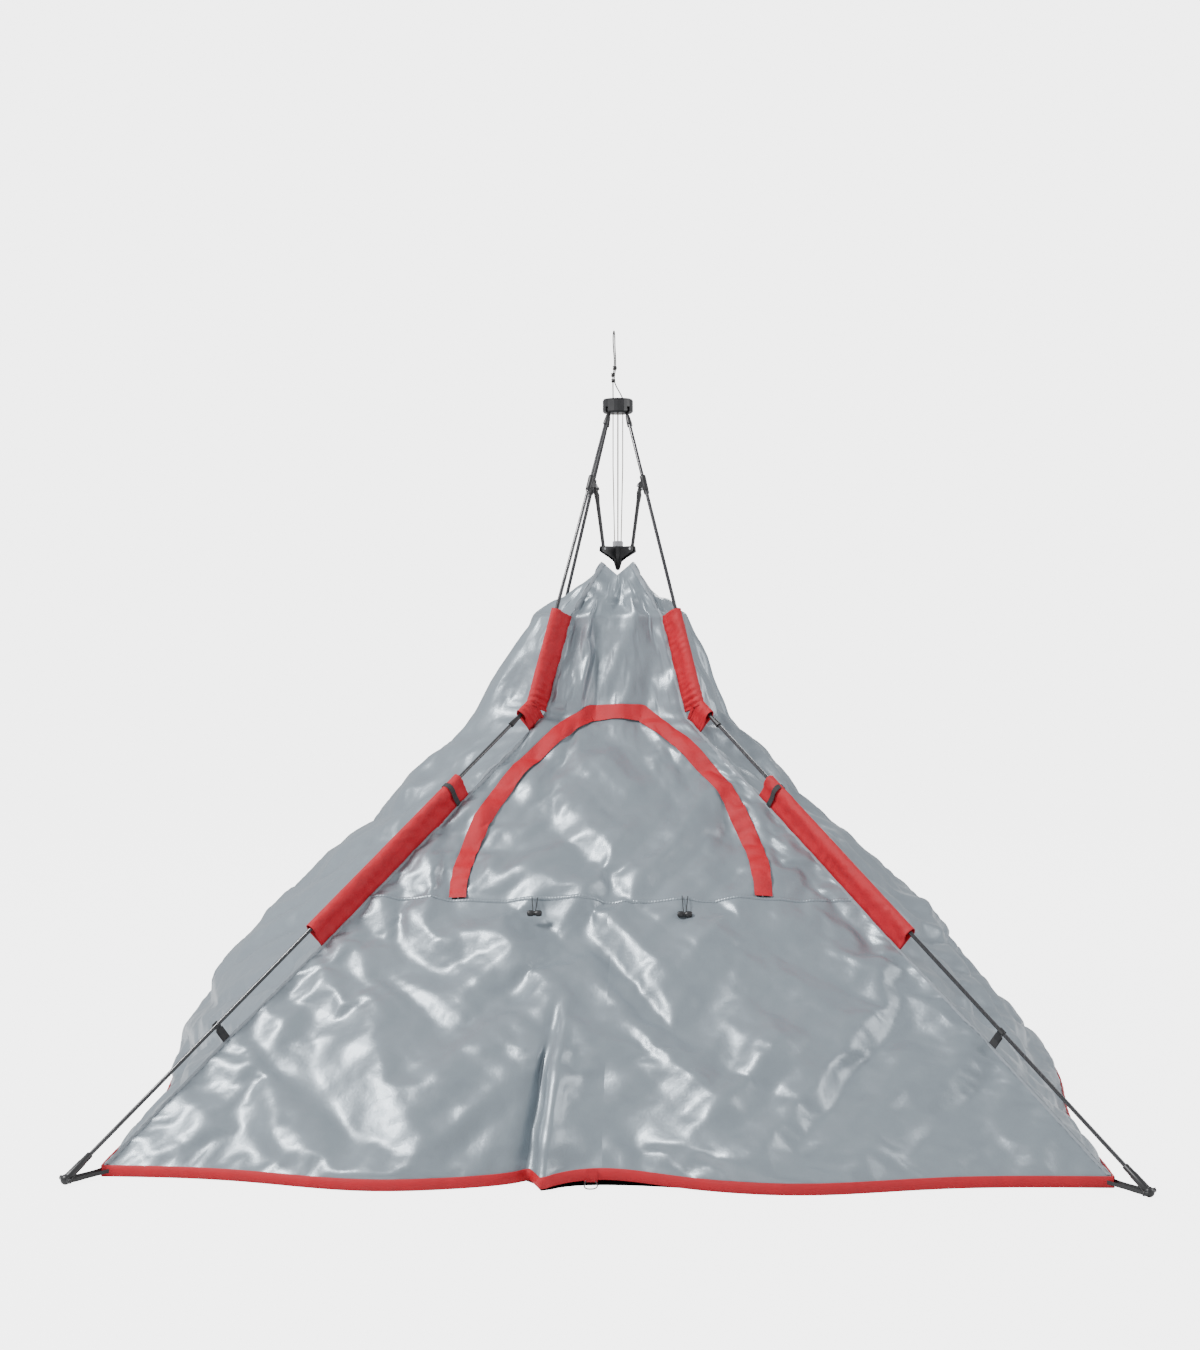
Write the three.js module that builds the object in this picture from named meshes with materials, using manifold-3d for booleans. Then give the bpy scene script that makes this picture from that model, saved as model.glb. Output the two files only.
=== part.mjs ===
// Teepee tent on an umbrella frame, in millimetres, +Z up, its door side facing -Y.
// The frame origin is on the ground, midway between the four feet.
import * as THREE from 'three';
import { mergeVertices } from 'three/addons/utils/BufferGeometryUtils.js';
import ManifoldModule from 'manifold-3d';

const wasm = await ManifoldModule();
wasm.setup();

// ---------------------------------------------------------------- driving dimensions
const GAP = 0.4; // between parts that lie face to face
const DEGREE = Math.PI / 180;
const CORNERS = { front_right: -45, back_right: 45, back_left: 135, front_left: 225 };
const SIDES = { front: 0, right: 90, back: 180, left: 270 }; // turn of each wall about +Z

// One leg, in its own radial plane: [distance from the tent's axis, height].
const HUB_PIN = [30, 1711];
const UPPER_LENGTH = 800;
const UPPER_ANGLE = 19.5 * DEGREE; // from the vertical
const LOWER_LENGTH = 1584;
const FOOT_RADIUS = 11; // ball that stands on the ground
const POLE_RADIUS = 4.5;
const FERRULE_RADIUS = 6.2;
const FERRULE_AT = 560; // along the lower pole
const FERRULE_LENGTH = 90;

// Hubs.
const HUB_RADIUS = 39.5;
const HUB_BOTTOM = 1703;
const HUB_TOP = 1740;
const HUB_CAP_THICKNESS = 5;
const SLOT_WIDTH = 9;
const SLOT_INNER = 21;
const PIN_RADIUS = 2;
const CORD_RADIUS = 1.6;
const DRAW_CORD_RING = 12.5;
const DRAW_CORD_TURN = 0; // about +Z, to the first of the four strands
const RUNNER_EYE = [52, 1351];
const RUNNER_BODY_RADIUS = 16;
const RUNNER_POINT = 1296;
const COLLAR_RADIUS = 13.5;
const COLLAR_HEIGHT = 14;

// Bracket and strut.
const BRACKET_AT = 205; // down the upper pole from the hub pin
const LUG_OFFSET = 18; // towards the tent's axis from the pole
const STRUT_LENGTH = 163;
const STRUT_RADIUS = 3.6;
const EYE_RADIUS = 5.5;
const EYE_WIDTH = 6.4;
const CHEEK = 2.6;
const FORK_GAP = 8;

// Knee fork and tongue, which sit inside the upper sleeve.
const KNEE_SOCKET = 40;
const KNEE_TONGUE = 44; // slim part of the tongue, which slides up into the fork in mid-travel
const KNEE_SLOT = 38; // how far the fork is open above the knee pin
const KNEE_RADIUS = 10.5;

// Fabric. The ridge is the fold between two walls. It follows the leg, this far inside the pole.
const RIDGE_DROP = 50;
const NECK = [58, 1318];
const HEM_CORNER = [1485, 20.4];
const WALL = 5;
const NECK_DIP = 35;
const WALL_BULGE = { // at the middle of each wall, at each ridge point from the neck down
  front: [0, -5, -15, 0, 40, 70, 40],
  right: [0, 55, 110, 100, 125, 100, 50],
  back: [0, 50, 100, 95, 115, 100, 50],
  left: [0, 100, 190, 190, 230, 210, 60],
};
const HEM_HEIGHT = 20;
const HEM_THICKNESS = 6;
const GROUNDSHEET_THICKNESS = 2;
const GROUNDSHEET_INSET = 12;
const SLEEVE_UPPER = [549, 798]; // along the upper pole
const SLEEVE_LOWER = [290, 827]; // along the lower pole
const SLEEVE_WEB = 48;
const SLEEVE_WALL = 2;
const CLIP_AT = 1128; // along the lower pole

// Arched window in the front wall.
const ARCH_FOOT = 525; // height of the seam that the arch stands on
const ARCH_HALF = 354;
const ARCH_RISE = 630; // of the full curve, measured up the slope of the wall
const ARCH_CUT = 0.94; // share of that rise at which the top is cut flat
const ARCH_GAP = 1.5;
const FLAP_WIDTH = 42;
const FLAP_THICKNESS = 2;
const TOGGLE_AT = 172; // left and right of the middle
const TOGGLE_LENGTH = 34;
const TOGGLE_RADIUS = 7;
const TOGGLE_DROP = 34;

// Pull cord.
const PULL_TOP = 1921;
const PULL_KNOTS = [[-12.5, 1788, 6], [-12.5, 1804, 6], [-7, 1822, 6.5]];

// ---------------------------------------------------------------- colours
const SILVER = 0x9fa6ae;
const RED = 0xd81f2e;
const BLACK = 0x141416;
const POLE_BLACK = 0x1c1d20;
const GREY = 0x8b8c90;
const CORD_BROWN = 0x6d6458;

const paint = (color, roughness, metalness = 0) => (
  () => new THREE.MeshStandardMaterial({ color, roughness, metalness })
);
const coatedPolyester = paint(SILVER, 0.55);
const redWebbing = paint(RED, 0.8);
const plastic = paint(BLACK, 0.4);
const glassFibre = paint(POLE_BLACK, 0.3);
const greyPlastic = paint(GREY, 0.45);
const cordage = paint(CORD_BROWN, 0.9);

// ---------------------------------------------------------------- solids
function solid(geometry) {
  const bare = geometry.index ? geometry.toNonIndexed() : geometry.clone();
  for (const name of Object.keys(bare.attributes)) {
    if (name !== 'position') bare.deleteAttribute(name);
  }
  const merged = mergeVertices(bare, 1e-3);
  return new wasm.Manifold(new wasm.Mesh({
    numProp: 3,
    vertProperties: new Float32Array(merged.attributes.position.array),
    triVerts: new Uint32Array(merged.index.array),
  }));
}

function geometryOf(body) {
  const { vertProperties, triVerts } = body.getMesh();
  const geometry = new THREE.BufferGeometry();
  geometry.setAttribute('position', new THREE.BufferAttribute(vertProperties, 3));
  geometry.setIndex(new THREE.BufferAttribute(triVerts, 1));
  return geometry;
}

const joined = (...bodies) => bodies.reduce((all, body) => all.add(body));
const tent = new THREE.Group();

function place(name, body, material, turn = 0) {
  const mesh = new THREE.Mesh(geometryOf(body), material());
  mesh.name = name;
  mesh.rotation.z = turn * DEGREE;
  tent.add(mesh);
}

// A round bar between two points, tapered if the second radius differs.
function bar(from, to, radius, endRadius = radius, sides = 8) {
  const [a, b] = [new THREE.Vector3(...from), new THREE.Vector3(...to)];
  const along = b.clone().sub(a);
  const geometry = new THREE.CylinderGeometry(endRadius, radius, along.length(), sides);
  geometry.applyQuaternion(new THREE.Quaternion().setFromUnitVectors(
    new THREE.Vector3(0, 1, 0),
    along.clone().normalize(),
  ));
  geometry.translate(...a.add(b).multiplyScalar(0.5));
  return solid(geometry);
}

function box(size, centre) {
  return solid(new THREE.BoxGeometry(...size).translate(...centre));
}

// An outline of [distance from the axis, height] spun about +Z.
function spun(outline, sides = 20) {
  const points = outline.map(([r, z]) => new THREE.Vector2(r, z));
  return solid(new THREE.LatheGeometry(points, sides).rotateX(90 * DEGREE));
}

// A flat outline in the leg's radial plane, thickened sideways from y0 to y1.
function plate(outline, y0, y1) {
  const shape = new THREE.Shape(outline.map(([r, z]) => new THREE.Vector2(r, z)));
  const geometry = new THREE.ExtrudeGeometry(shape, { depth: y1 - y0, bevelEnabled: false });
  geometry.rotateX(90 * DEGREE);
  return solid(geometry.translate(0, y1, 0));
}

// ---------------------------------------------------------------- leg geometry
const step = ([r, z], [dr, dz], length) => [r + dr * length, z + dz * length];
const flat = ([r, z], y = 0) => [r, y, z];
const UPPER_WAY = [Math.sin(UPPER_ANGLE), -Math.cos(UPPER_ANGLE)];
const UPPER_INWARD = [-Math.cos(UPPER_ANGLE), -Math.sin(UPPER_ANGLE)];
const KNEE = step(HUB_PIN, UPPER_WAY, UPPER_LENGTH);
const FALL = KNEE[1] - FOOT_RADIUS;
const FOOT = [KNEE[0] + Math.sqrt(LOWER_LENGTH ** 2 - FALL ** 2), FOOT_RADIUS];
const LOWER_WAY = [(FOOT[0] - KNEE[0]) / LOWER_LENGTH, -FALL / LOWER_LENGTH];
const LOWER_INWARD = [LOWER_WAY[1], -LOWER_WAY[0]];
const onUpper = (length) => step(HUB_PIN, UPPER_WAY, length);
const onLower = (length) => step(KNEE, LOWER_WAY, length);
const RIDGE = [
  NECK,
  step(onUpper(SLEEVE_UPPER[0]), UPPER_INWARD, RIDGE_DROP),
  step(step(KNEE, UPPER_INWARD, 0.57 * RIDGE_DROP), LOWER_INWARD, 0.57 * RIDGE_DROP),
  step(onLower(SLEEVE_LOWER[0]), LOWER_INWARD, RIDGE_DROP),
  step(onLower(SLEEVE_LOWER[1]), LOWER_INWARD, RIDGE_DROP),
  step(onLower(CLIP_AT), LOWER_INWARD, RIDGE_DROP - 8),
  HEM_CORNER,
];
const LUG = step(onUpper(BRACKET_AT), UPPER_INWARD, LUG_OFFSET);

// An eye: a short barrel lying across the radial plane.
const eye = (at, radius, width, sides = 10) => (
  bar(flat(at, -width / 2), flat(at, width / 2), radius, radius, sides)
);

// ---------------------------------------------------------------- top hub
function topHub() {
  const lip = 4;
  const seat = HUB_TOP - HUB_CAP_THICKNESS - GAP;
  let body = spun([
    [0, HUB_BOTTOM],
    [HUB_RADIUS - lip, HUB_BOTTOM],
    [HUB_RADIUS, HUB_BOTTOM + lip],
    [HUB_RADIUS, seat],
    [0, seat],
  ], 28);
  for (const turn of Object.values(CORNERS)) {
    const length = HUB_RADIUS + 5 - SLOT_INNER;
    const height = HUB_PIN[1] + EYE_RADIUS + 2 - HUB_BOTTOM + 5;
    const slot = box(
      [length, SLOT_WIDTH, height],
      [SLOT_INNER + length / 2, 0, HUB_BOTTOM - 5 + height / 2],
    );
    const hole = eye(HUB_PIN, PIN_RADIUS + GAP, SLOT_WIDTH + 8);
    body = body.subtract(slot.add(hole).rotate([0, 0, turn]));
  }
  return body.subtract(cordHoles());
}

function cordHoles() {
  const holes = [0, 1, 2, 3].map((k) => {
    const turn = DRAW_CORD_TURN + k * 90 * DEGREE;
    const [x, y] = [DRAW_CORD_RING * Math.cos(turn), DRAW_CORD_RING * Math.sin(turn)];
    return bar([x, y, HUB_BOTTOM - 5], [x, y, HUB_TOP + 5], CORD_RADIUS + 0.6, CORD_RADIUS + 0.6, 10);
  });
  return joined(...holes);
}

function topHubCap() {
  const lip = 2.5;
  const body = spun([
    [0, HUB_TOP - HUB_CAP_THICKNESS],
    [HUB_RADIUS - 1, HUB_TOP - HUB_CAP_THICKNESS],
    [HUB_RADIUS - 1, HUB_TOP - lip],
    [HUB_RADIUS - 1 - lip, HUB_TOP],
    [0, HUB_TOP],
  ], 28);
  return body.subtract(cordHoles());
}

// ---------------------------------------------------------------- one leg
function hubKnuckle() {
  const socket = [14, 42];
  return joined(
    eye(HUB_PIN, EYE_RADIUS, SLOT_WIDTH - 2 * GAP),
    eye(HUB_PIN, PIN_RADIUS, SLOT_WIDTH + 6),
    bar(flat(HUB_PIN), flat(onUpper(socket[0])), 3.6),
    bar(flat(onUpper(socket[0] - 4)), flat(onUpper(socket[1])), 4, 7.2),
  ).subtract(bar(flat(onUpper(socket[1] - 14)), flat(onUpper(socket[1] + 5)), POLE_RADIUS + GAP));
}

function upperPole() {
  return bar(flat(onUpper(30)), flat(onUpper(UPPER_LENGTH - KNEE_SLOT - 8)), POLE_RADIUS);
}

function bracket() {
  const length = 40;
  const ends = [BRACKET_AT - length / 2, BRACKET_AT + length / 2];
  const foot = [onUpper(BRACKET_AT - 9), onUpper(BRACKET_AT + 9)];
  const tip = [step(LUG, UPPER_WAY, 5), step(LUG, UPPER_INWARD, 5.5), step(LUG, UPPER_WAY, -5)];
  const ear = (y) => plate([foot[0], foot[1], ...tip], y, y + CHEEK);
  return joined(
    bar(flat(onUpper(ends[0])), flat(onUpper(ends[1])), 8, 7.2),
    ear(FORK_GAP / 2),
    ear(-FORK_GAP / 2 - CHEEK),
  ).subtract(bar(flat(onUpper(ends[0] - 5)), flat(onUpper(ends[1] + 5)), POLE_RADIUS + GAP))
    .subtract(eye(LUG, PIN_RADIUS + GAP, 30))
    .subtract(eye(LUG, EYE_RADIUS + 1, FORK_GAP));
}

function strut() {
  const way = [(RUNNER_EYE[0] - LUG[0]) / STRUT_LENGTH, (RUNNER_EYE[1] - LUG[1]) / STRUT_LENGTH];
  const at = (length) => step(LUG, way, length);
  return joined(
    eye(LUG, EYE_RADIUS - 0.7, EYE_WIDTH),
    eye(LUG, PIN_RADIUS, FORK_GAP + 2 * CHEEK + 2),
    bar(flat(LUG), flat(at(14)), 3, 3.1),
    bar(flat(at(13)), flat(at(34)), 5.4, STRUT_RADIUS),
    bar(flat(at(33)), flat(at(STRUT_LENGTH - 12)), STRUT_RADIUS),
    bar(flat(at(STRUT_LENGTH - 13)), flat(at(STRUT_LENGTH)), 3),
    eye(at(STRUT_LENGTH), EYE_RADIUS, EYE_WIDTH),
  );
}

function kneeUpper() {
  const top = UPPER_LENGTH - KNEE_SLOT - KNEE_SOCKET;
  const shoulder = UPPER_LENGTH - KNEE_SLOT;
  const side = (length, out) => step(onUpper(length), UPPER_INWARD, out);
  const outline = [
    side(shoulder - 4, 7),
    side(UPPER_LENGTH, 7),
    side(UPPER_LENGTH + 6, 3),
    side(UPPER_LENGTH + 6, -3),
    side(UPPER_LENGTH, -7),
    side(shoulder - 4, -7),
  ];
  return joined(
    bar(flat(onUpper(top)), flat(onUpper(shoulder)), 7.5, KNEE_RADIUS, 10),
    plate(outline, FORK_GAP / 2, FORK_GAP / 2 + CHEEK),
    plate(outline, -FORK_GAP / 2 - CHEEK, -FORK_GAP / 2),
  ).subtract(bar(flat(onUpper(top - 5)), flat(onUpper(shoulder - 6)), POLE_RADIUS + GAP));
}

function kneeLower() {
  const socket = [KNEE_TONGUE, KNEE_TONGUE + KNEE_SOCKET];
  return joined(
    eye(KNEE, EYE_RADIUS, EYE_WIDTH),
    bar(flat(KNEE), flat(onLower(socket[0])), 3.1),
    bar(flat(onLower(socket[0] - 6)), flat(onLower(socket[1])), 4, 7.5, 10),
  ).subtract(bar(flat(onLower(socket[0] + 8)), flat(onLower(socket[1] + 5)), POLE_RADIUS + GAP));
}

function lowerPole() {
  const ferrule = [FERRULE_AT - FERRULE_LENGTH / 2, FERRULE_AT + FERRULE_LENGTH / 2];
  return joined(
    bar(flat(onLower(KNEE_TONGUE + 10)), flat(onLower(LOWER_LENGTH - 16)), POLE_RADIUS),
    bar(flat(onLower(ferrule[0])), flat(onLower(ferrule[1])), FERRULE_RADIUS),
  );
}

function foot() {
  const cap = LOWER_LENGTH - 70;
  const ball = new THREE.SphereGeometry(FOOT_RADIUS, 12, 8).rotateX(90 * DEGREE);
  const crossbar = 44;
  return joined(
    bar(flat(onLower(cap)), flat(onLower(LOWER_LENGTH)), 7, 8.5, 10),
    solid(ball.translate(...flat(FOOT))),
    bar(flat(FOOT, -crossbar / 2), flat(FOOT, crossbar / 2), 5),
  ).subtract(bar(flat(onLower(cap - 5)), flat(onLower(LOWER_LENGTH - 15)), POLE_RADIUS + GAP));
}

// A hook round the pole, with its tail pointing at the ridge.
function poleClip() {
  const width = 14;
  const bore = POLE_RADIUS + GAP;
  const ring = bar(flat(onLower(CLIP_AT)), flat(onLower(CLIP_AT + width)), bore + 3, bore + 3, 12);
  const tail = [0, width].map((d) => [
    step(onLower(CLIP_AT + d), LOWER_INWARD, bore + 1),
    step(onLower(CLIP_AT + d), LOWER_INWARD, 24),
  ]);
  const mouth = [-2, width + 2].map((d) => [
    onLower(CLIP_AT + d),
    step(onLower(CLIP_AT + d), LOWER_INWARD, -bore - 5),
  ]);
  return joined(
    ring,
    plate([tail[0][0], tail[0][1], tail[1][1], tail[1][0]], -2, 2),
  ).subtract(bar(flat(onLower(CLIP_AT - 5)), flat(onLower(CLIP_AT + width + 5)), bore))
    .subtract(plate([mouth[0][0], mouth[0][1], mouth[1][1], mouth[1][0]], 0, 7));
}

// A fabric tube round the pole with a flat web down to the ridge.
function sleeve([start, end], on, inward, inner) {
  const outer = inner + SLEEVE_WALL;
  const web = [start, end].map((length) => [
    step(on(length), inward, inner + 0.5),
    step(on(length), inward, SLEEVE_WEB),
  ]);
  return joined(
    bar(flat(on(start)), flat(on(end)), outer, outer, 10),
    plate([web[0][0], web[0][1], web[1][1], web[1][0]], -SLEEVE_WALL / 2, SLEEVE_WALL / 2),
  ).subtract(bar(flat(on(start - 5)), flat(on(end + 5)), inner, inner, 10));
}

// ---------------------------------------------------------------- lower hub
function lowerHub() {
  const [eyeR, eyeZ] = RUNNER_EYE;
  const top = eyeZ + 7;
  const arm = [
    [6, top],
    [eyeR + 6, top],
    [eyeR + 8, eyeZ - 6],
    [RUNNER_BODY_RADIUS + 10, eyeZ - 22],
    [6, eyeZ - 34],
  ];
  let body = spun([
    [0, RUNNER_POINT],
    [5, RUNNER_POINT + 2],
    [RUNNER_BODY_RADIUS - 3, eyeZ - 26],
    [RUNNER_BODY_RADIUS, eyeZ - 12],
    [RUNNER_BODY_RADIUS, top],
    [0, top],
  ]);
  for (const turn of Object.values(CORNERS)) {
    const cheeks = plate(arm, FORK_GAP / 2, FORK_GAP / 2 + CHEEK)
      .add(plate(arm, -FORK_GAP / 2 - CHEEK, -FORK_GAP / 2));
    body = body.add(cheeks.rotate([0, 0, turn]));
  }
  return body;
}

function lowerHubCollar() {
  const base = RUNNER_EYE[1] + 7 + GAP;
  return spun([
    [COLLAR_RADIUS - 4, base],
    [COLLAR_RADIUS, base],
    [COLLAR_RADIUS, base + COLLAR_HEIGHT - 2],
    [COLLAR_RADIUS - 2, base + COLLAR_HEIGHT],
    [COLLAR_RADIUS - 4, base + COLLAR_HEIGHT],
    [COLLAR_RADIUS - 4, base],
  ]);
}

// ---------------------------------------------------------------- cords
function drawCords() {
  const foot = RUNNER_EYE[1] + 7 + COLLAR_HEIGHT + 3;
  const gather = COLLAR_RADIUS - 5;
  const ring = new THREE.TorusGeometry(gather, CORD_RADIUS, 6, 16).translate(0, 0, foot);
  const strands = [0, 1, 2, 3].map((k) => {
    const turn = DRAW_CORD_TURN + k * 90 * DEGREE;
    const [x, y] = [Math.cos(turn), Math.sin(turn)];
    return bar(
      [gather * x, gather * y, foot],
      [DRAW_CORD_RING * x, DRAW_CORD_RING * y, HUB_BOTTOM - 2 * GAP],
      CORD_RADIUS,
      CORD_RADIUS,
      8,
    );
  });
  return joined(solid(ring), ...strands);
}

function pullCord() {
  const [low, , high] = PULL_KNOTS;
  const base = HUB_TOP + GAP + CORD_RADIUS;
  const split = [low[0], 0, 1780];
  const knots = PULL_KNOTS.map(([x, z, radius]) => (
    solid(new THREE.SphereGeometry(radius, 8, 6).translate(x, 0, z))
  ));
  return joined(
    bar([low[0], 0, base], split, CORD_RADIUS, CORD_RADIUS, 8),
    bar([-low[0], 0, base], split, CORD_RADIUS, CORD_RADIUS, 8),
    bar(split, [high[0], 0, high[1]], 2.6, 2.6, 8),
    bar([high[0], 0, high[1]], [-10, 0, PULL_TOP], 2.6, 2.6, 8),
    ...knots,
  );
}

// ---------------------------------------------------------------- canopy walls
// Each wall faces -Y before it is turned. u runs from -1 at its left ridge to 1 at its right,
// and v counts along the ridge from 0 at the neck to the last ridge point at the hem.
const LAST = RIDGE.length - 1;
const between = (list, v) => {
  const k = Math.min(Math.floor(v), list.length - 2);
  return list[k] + (list[k + 1] - list[k]) * (v - k);
};
const ridgeReach = (v) => between(RIDGE.map(([r]) => r), v) / Math.SQRT2;
const ridgeHeight = (v) => between(RIDGE.map(([, z]) => z), v);

function wallPoint(side, u, v, inset) {
  const reach = ridgeReach(v);
  const bulge = between(WALL_BULGE[side], v) * (1 - u * u) ** 2;
  const dip = NECK_DIP * (1 - Math.abs(u)) * Math.max(0, 1 - v);
  return [u * (reach - inset), -(reach - inset + bulge + dip / 2), ridgeHeight(v) - dip];
}

// A skin between two insets of a wall, as one closed solid.
function skin(side, outside, inside, seam, across = 10, rows = 2) {
  const down = LAST * rows;
  const width = across + 1;
  const count = width * (down + 1);
  const points = [];
  for (const inset of [outside, inside]) {
    for (let j = 0; j <= down; j += 1) {
      for (let i = 0; i <= across; i += 1) {
        const u = (2 * i) / across - 1;
        const [x, y, z] = wallPoint(side, u, j / rows, inset);
        points.push(x - Math.sign(u) * (Math.abs(u) === 1 ? seam : 0), y, z);
      }
    }
  }
  const faces = [];
  const quad = (a, b, c, d) => faces.push(a, b, c, a, c, d);
  for (let j = 0; j < down; j += 1) {
    for (let i = 0; i < across; i += 1) {
      const a = j * width + i;
      quad(a, a + width, a + width + 1, a + 1);
      quad(count + a, count + a + 1, count + a + width + 1, count + a + width);
    }
    const [left, right] = [j * width, j * width + across];
    quad(left, count + left, count + left + width, left + width);
    quad(right, right + width, count + right + width, count + right);
  }
  for (let i = 0; i < across; i += 1) {
    const low = down * width + i;
    quad(i, i + 1, count + i + 1, count + i);
    quad(low, count + low, count + low + 1, low + 1);
  }
  const geometry = new THREE.BufferGeometry();
  geometry.setAttribute('position', new THREE.Float32BufferAttribute(points, 3));
  geometry.setIndex(faces);
  return solid(geometry);
}

const wallSkin = (side) => skin(side, 0, WALL, GAP);

// ---------------------------------------------------------------- arched window
// Height on the front wall's middle line after a length measured up its slope from the seam.
function heightUpSlope(length) {
  let v = LAST;
  while (wallPoint('front', 0, v, 0)[2] < ARCH_FOOT) v -= 0.01;
  let [, y, z] = wallPoint('front', 0, v, 0);
  let gone = 0;
  while (gone < length) {
    v -= 0.01;
    const next = wallPoint('front', 0, v, 0);
    gone += Math.hypot(next[1] - y, next[2] - z);
    [, y, z] = next;
  }
  return z;
}

// Half the arch: w = W (1 - (l / L)^2)^0.8, where l is the length up the slope, up to a flat top.
function archShape(grow) {
  const steps = 12;
  const half = [];
  for (let k = 0; k < steps; k += 1) {
    const share = ARCH_CUT * k / (steps - 1);
    const width = ARCH_HALF * (1 - share ** 2) ** 0.8;
    half.push([width, heightUpSlope(share * ARCH_RISE)]);
  }
  half.push([0, half[steps - 1][1]]);
  const grown = half.map(([w, z], k) => {
    const next = half[Math.min(k + 1, steps)];
    const last = half[Math.max(k - 1, 0)];
    const length = Math.hypot(next[0] - last[0], next[1] - last[1]);
    const out = [(next[1] - last[1]) / length, (last[0] - next[0]) / length];
    return [Math.max(0, w + grow * out[0]), k === 0 ? z : z + grow * out[1]];
  });
  const left = grown.slice(0, -1).map(([w, z]) => [-w, z]);
  return [...grown, ...left.reverse()];
}

const prism = (outline) => plate(outline, -1100, -60);

function archedWindow() {
  const wall = wallSkin('front');
  const lift = GAP + 1;
  const raised = skin('front', -lift - FLAP_THICKNESS, -lift, 0);
  const band = prism(archShape(FLAP_WIDTH / 2)).subtract(prism(archShape(-FLAP_WIDTH / 2)));
  const foot = box([1200, 2000, 20], [0, 0, ARCH_FOOT]);
  place('canopy_front', wall.subtract(prism(archShape(0))), coatedPolyester);
  place('window_panel', wall.intersect(prism(archShape(-ARCH_GAP)).subtract(foot)), coatedPolyester);
  place('zip_flap', raised.intersect(band.subtract(foot)), redWebbing);
}

// ---------------------------------------------------------------- ground level
// The foot of the four walls as one closed plan outline, moved in by inset.
function hemOutline(inset, steps = 10) {
  const outline = [];
  for (const [side, turn] of Object.entries(SIDES)) {
    for (let i = 0; i < steps; i += 1) {
      const [x, y] = wallPoint(side, (2 * i) / steps - 1, LAST, inset);
      outline.push(new THREE.Vector2(x, y).rotateAround(new THREE.Vector2(), turn * DEGREE));
    }
  }
  return outline;
}

function hemBinding() {
  const shape = new THREE.Shape(hemOutline(-1));
  shape.holes.push(new THREE.Path(hemOutline(HEM_THICKNESS - 1).reverse()));
  return solid(new THREE.ExtrudeGeometry(shape, { depth: HEM_HEIGHT, bevelEnabled: false }));
}

function groundsheet() {
  const shape = new THREE.Shape(hemOutline(GROUNDSHEET_INSET));
  const depth = GROUNDSHEET_THICKNESS;
  return solid(new THREE.ExtrudeGeometry(shape, { depth, bevelEnabled: false }));
}

// A barrel toggle lying on the front wall just under the horizontal seam.
function toggle(x) {
  let v = LAST;
  while (wallPoint('front', x / 600, v, 0)[2] < ARCH_FOOT - TOGGLE_DROP) v -= 0.01;
  const [, y, z] = wallPoint('front', x / 600, v, 0);
  const at = [y - TOGGLE_RADIUS - 4, z + 2];
  const half = TOGGLE_LENGTH / 2;
  const span = (from, to, radius, end) => bar([x + from, ...at], [x + to, ...at], radius, end, 10);
  return joined(
    span(-half, -4, TOGGLE_RADIUS - 1.5, TOGGLE_RADIUS),
    span(-4.1, 4.1, TOGGLE_RADIUS - 2, TOGGLE_RADIUS - 2),
    span(4, half, TOGGLE_RADIUS, TOGGLE_RADIUS - 1.5),
  );
}

// ---------------------------------------------------------------- assembly
place('top_hub', topHub(), plastic);
place('top_hub_cap', topHubCap(), plastic);
place('lower_hub', lowerHub(), plastic);
place('lower_hub_collar', lowerHubCollar(), greyPlastic);
place('draw_cords', drawCords(), cordage);
place('pull_cord', pullCord(), cordage);

for (const [corner, turn] of Object.entries(CORNERS)) {
  place(`hub_knuckle_${corner}`, hubKnuckle(), plastic, turn);
  place(`upper_pole_${corner}`, upperPole(), glassFibre, turn);
  place(`bracket_${corner}`, bracket(), plastic, turn);
  place(`strut_${corner}`, strut(), plastic, turn);
  place(`knee_upper_${corner}`, kneeUpper(), plastic, turn);
  place(`knee_lower_${corner}`, kneeLower(), plastic, turn);
  place(`lower_pole_${corner}`, lowerPole(), glassFibre, turn);
  place(`foot_${corner}`, foot(), plastic, turn);
  place(`pole_clip_${corner}`, poleClip(), plastic, turn);
  place(`upper_sleeve_${corner}`, sleeve(SLEEVE_UPPER, onUpper, UPPER_INWARD, 12.5), redWebbing, turn);
  place(`lower_sleeve_${corner}`, sleeve(SLEEVE_LOWER, onLower, LOWER_INWARD, 7.2), redWebbing, turn);
}

archedWindow();
for (const side of ['right', 'back', 'left']) {
  place(`canopy_${side}`, wallSkin(side), coatedPolyester, SIDES[side]);
}
place('hem_binding', hemBinding(), redWebbing);
place('groundsheet', groundsheet(), plastic);
place('toggle_left', toggle(-TOGGLE_AT), plastic);
place('toggle_right', toggle(TOGGLE_AT), plastic);

export default tent;
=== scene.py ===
# %% [markdown]
# # Teepee tent on an umbrella frame
# A small tent that stands on four jointed legs, like an umbrella turned upside down. The frame and the
# joints come from the CAD model. This file adds what CAD leaves plain: slack cloth, seams, cords and finish.

# %% Setup
import math

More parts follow.
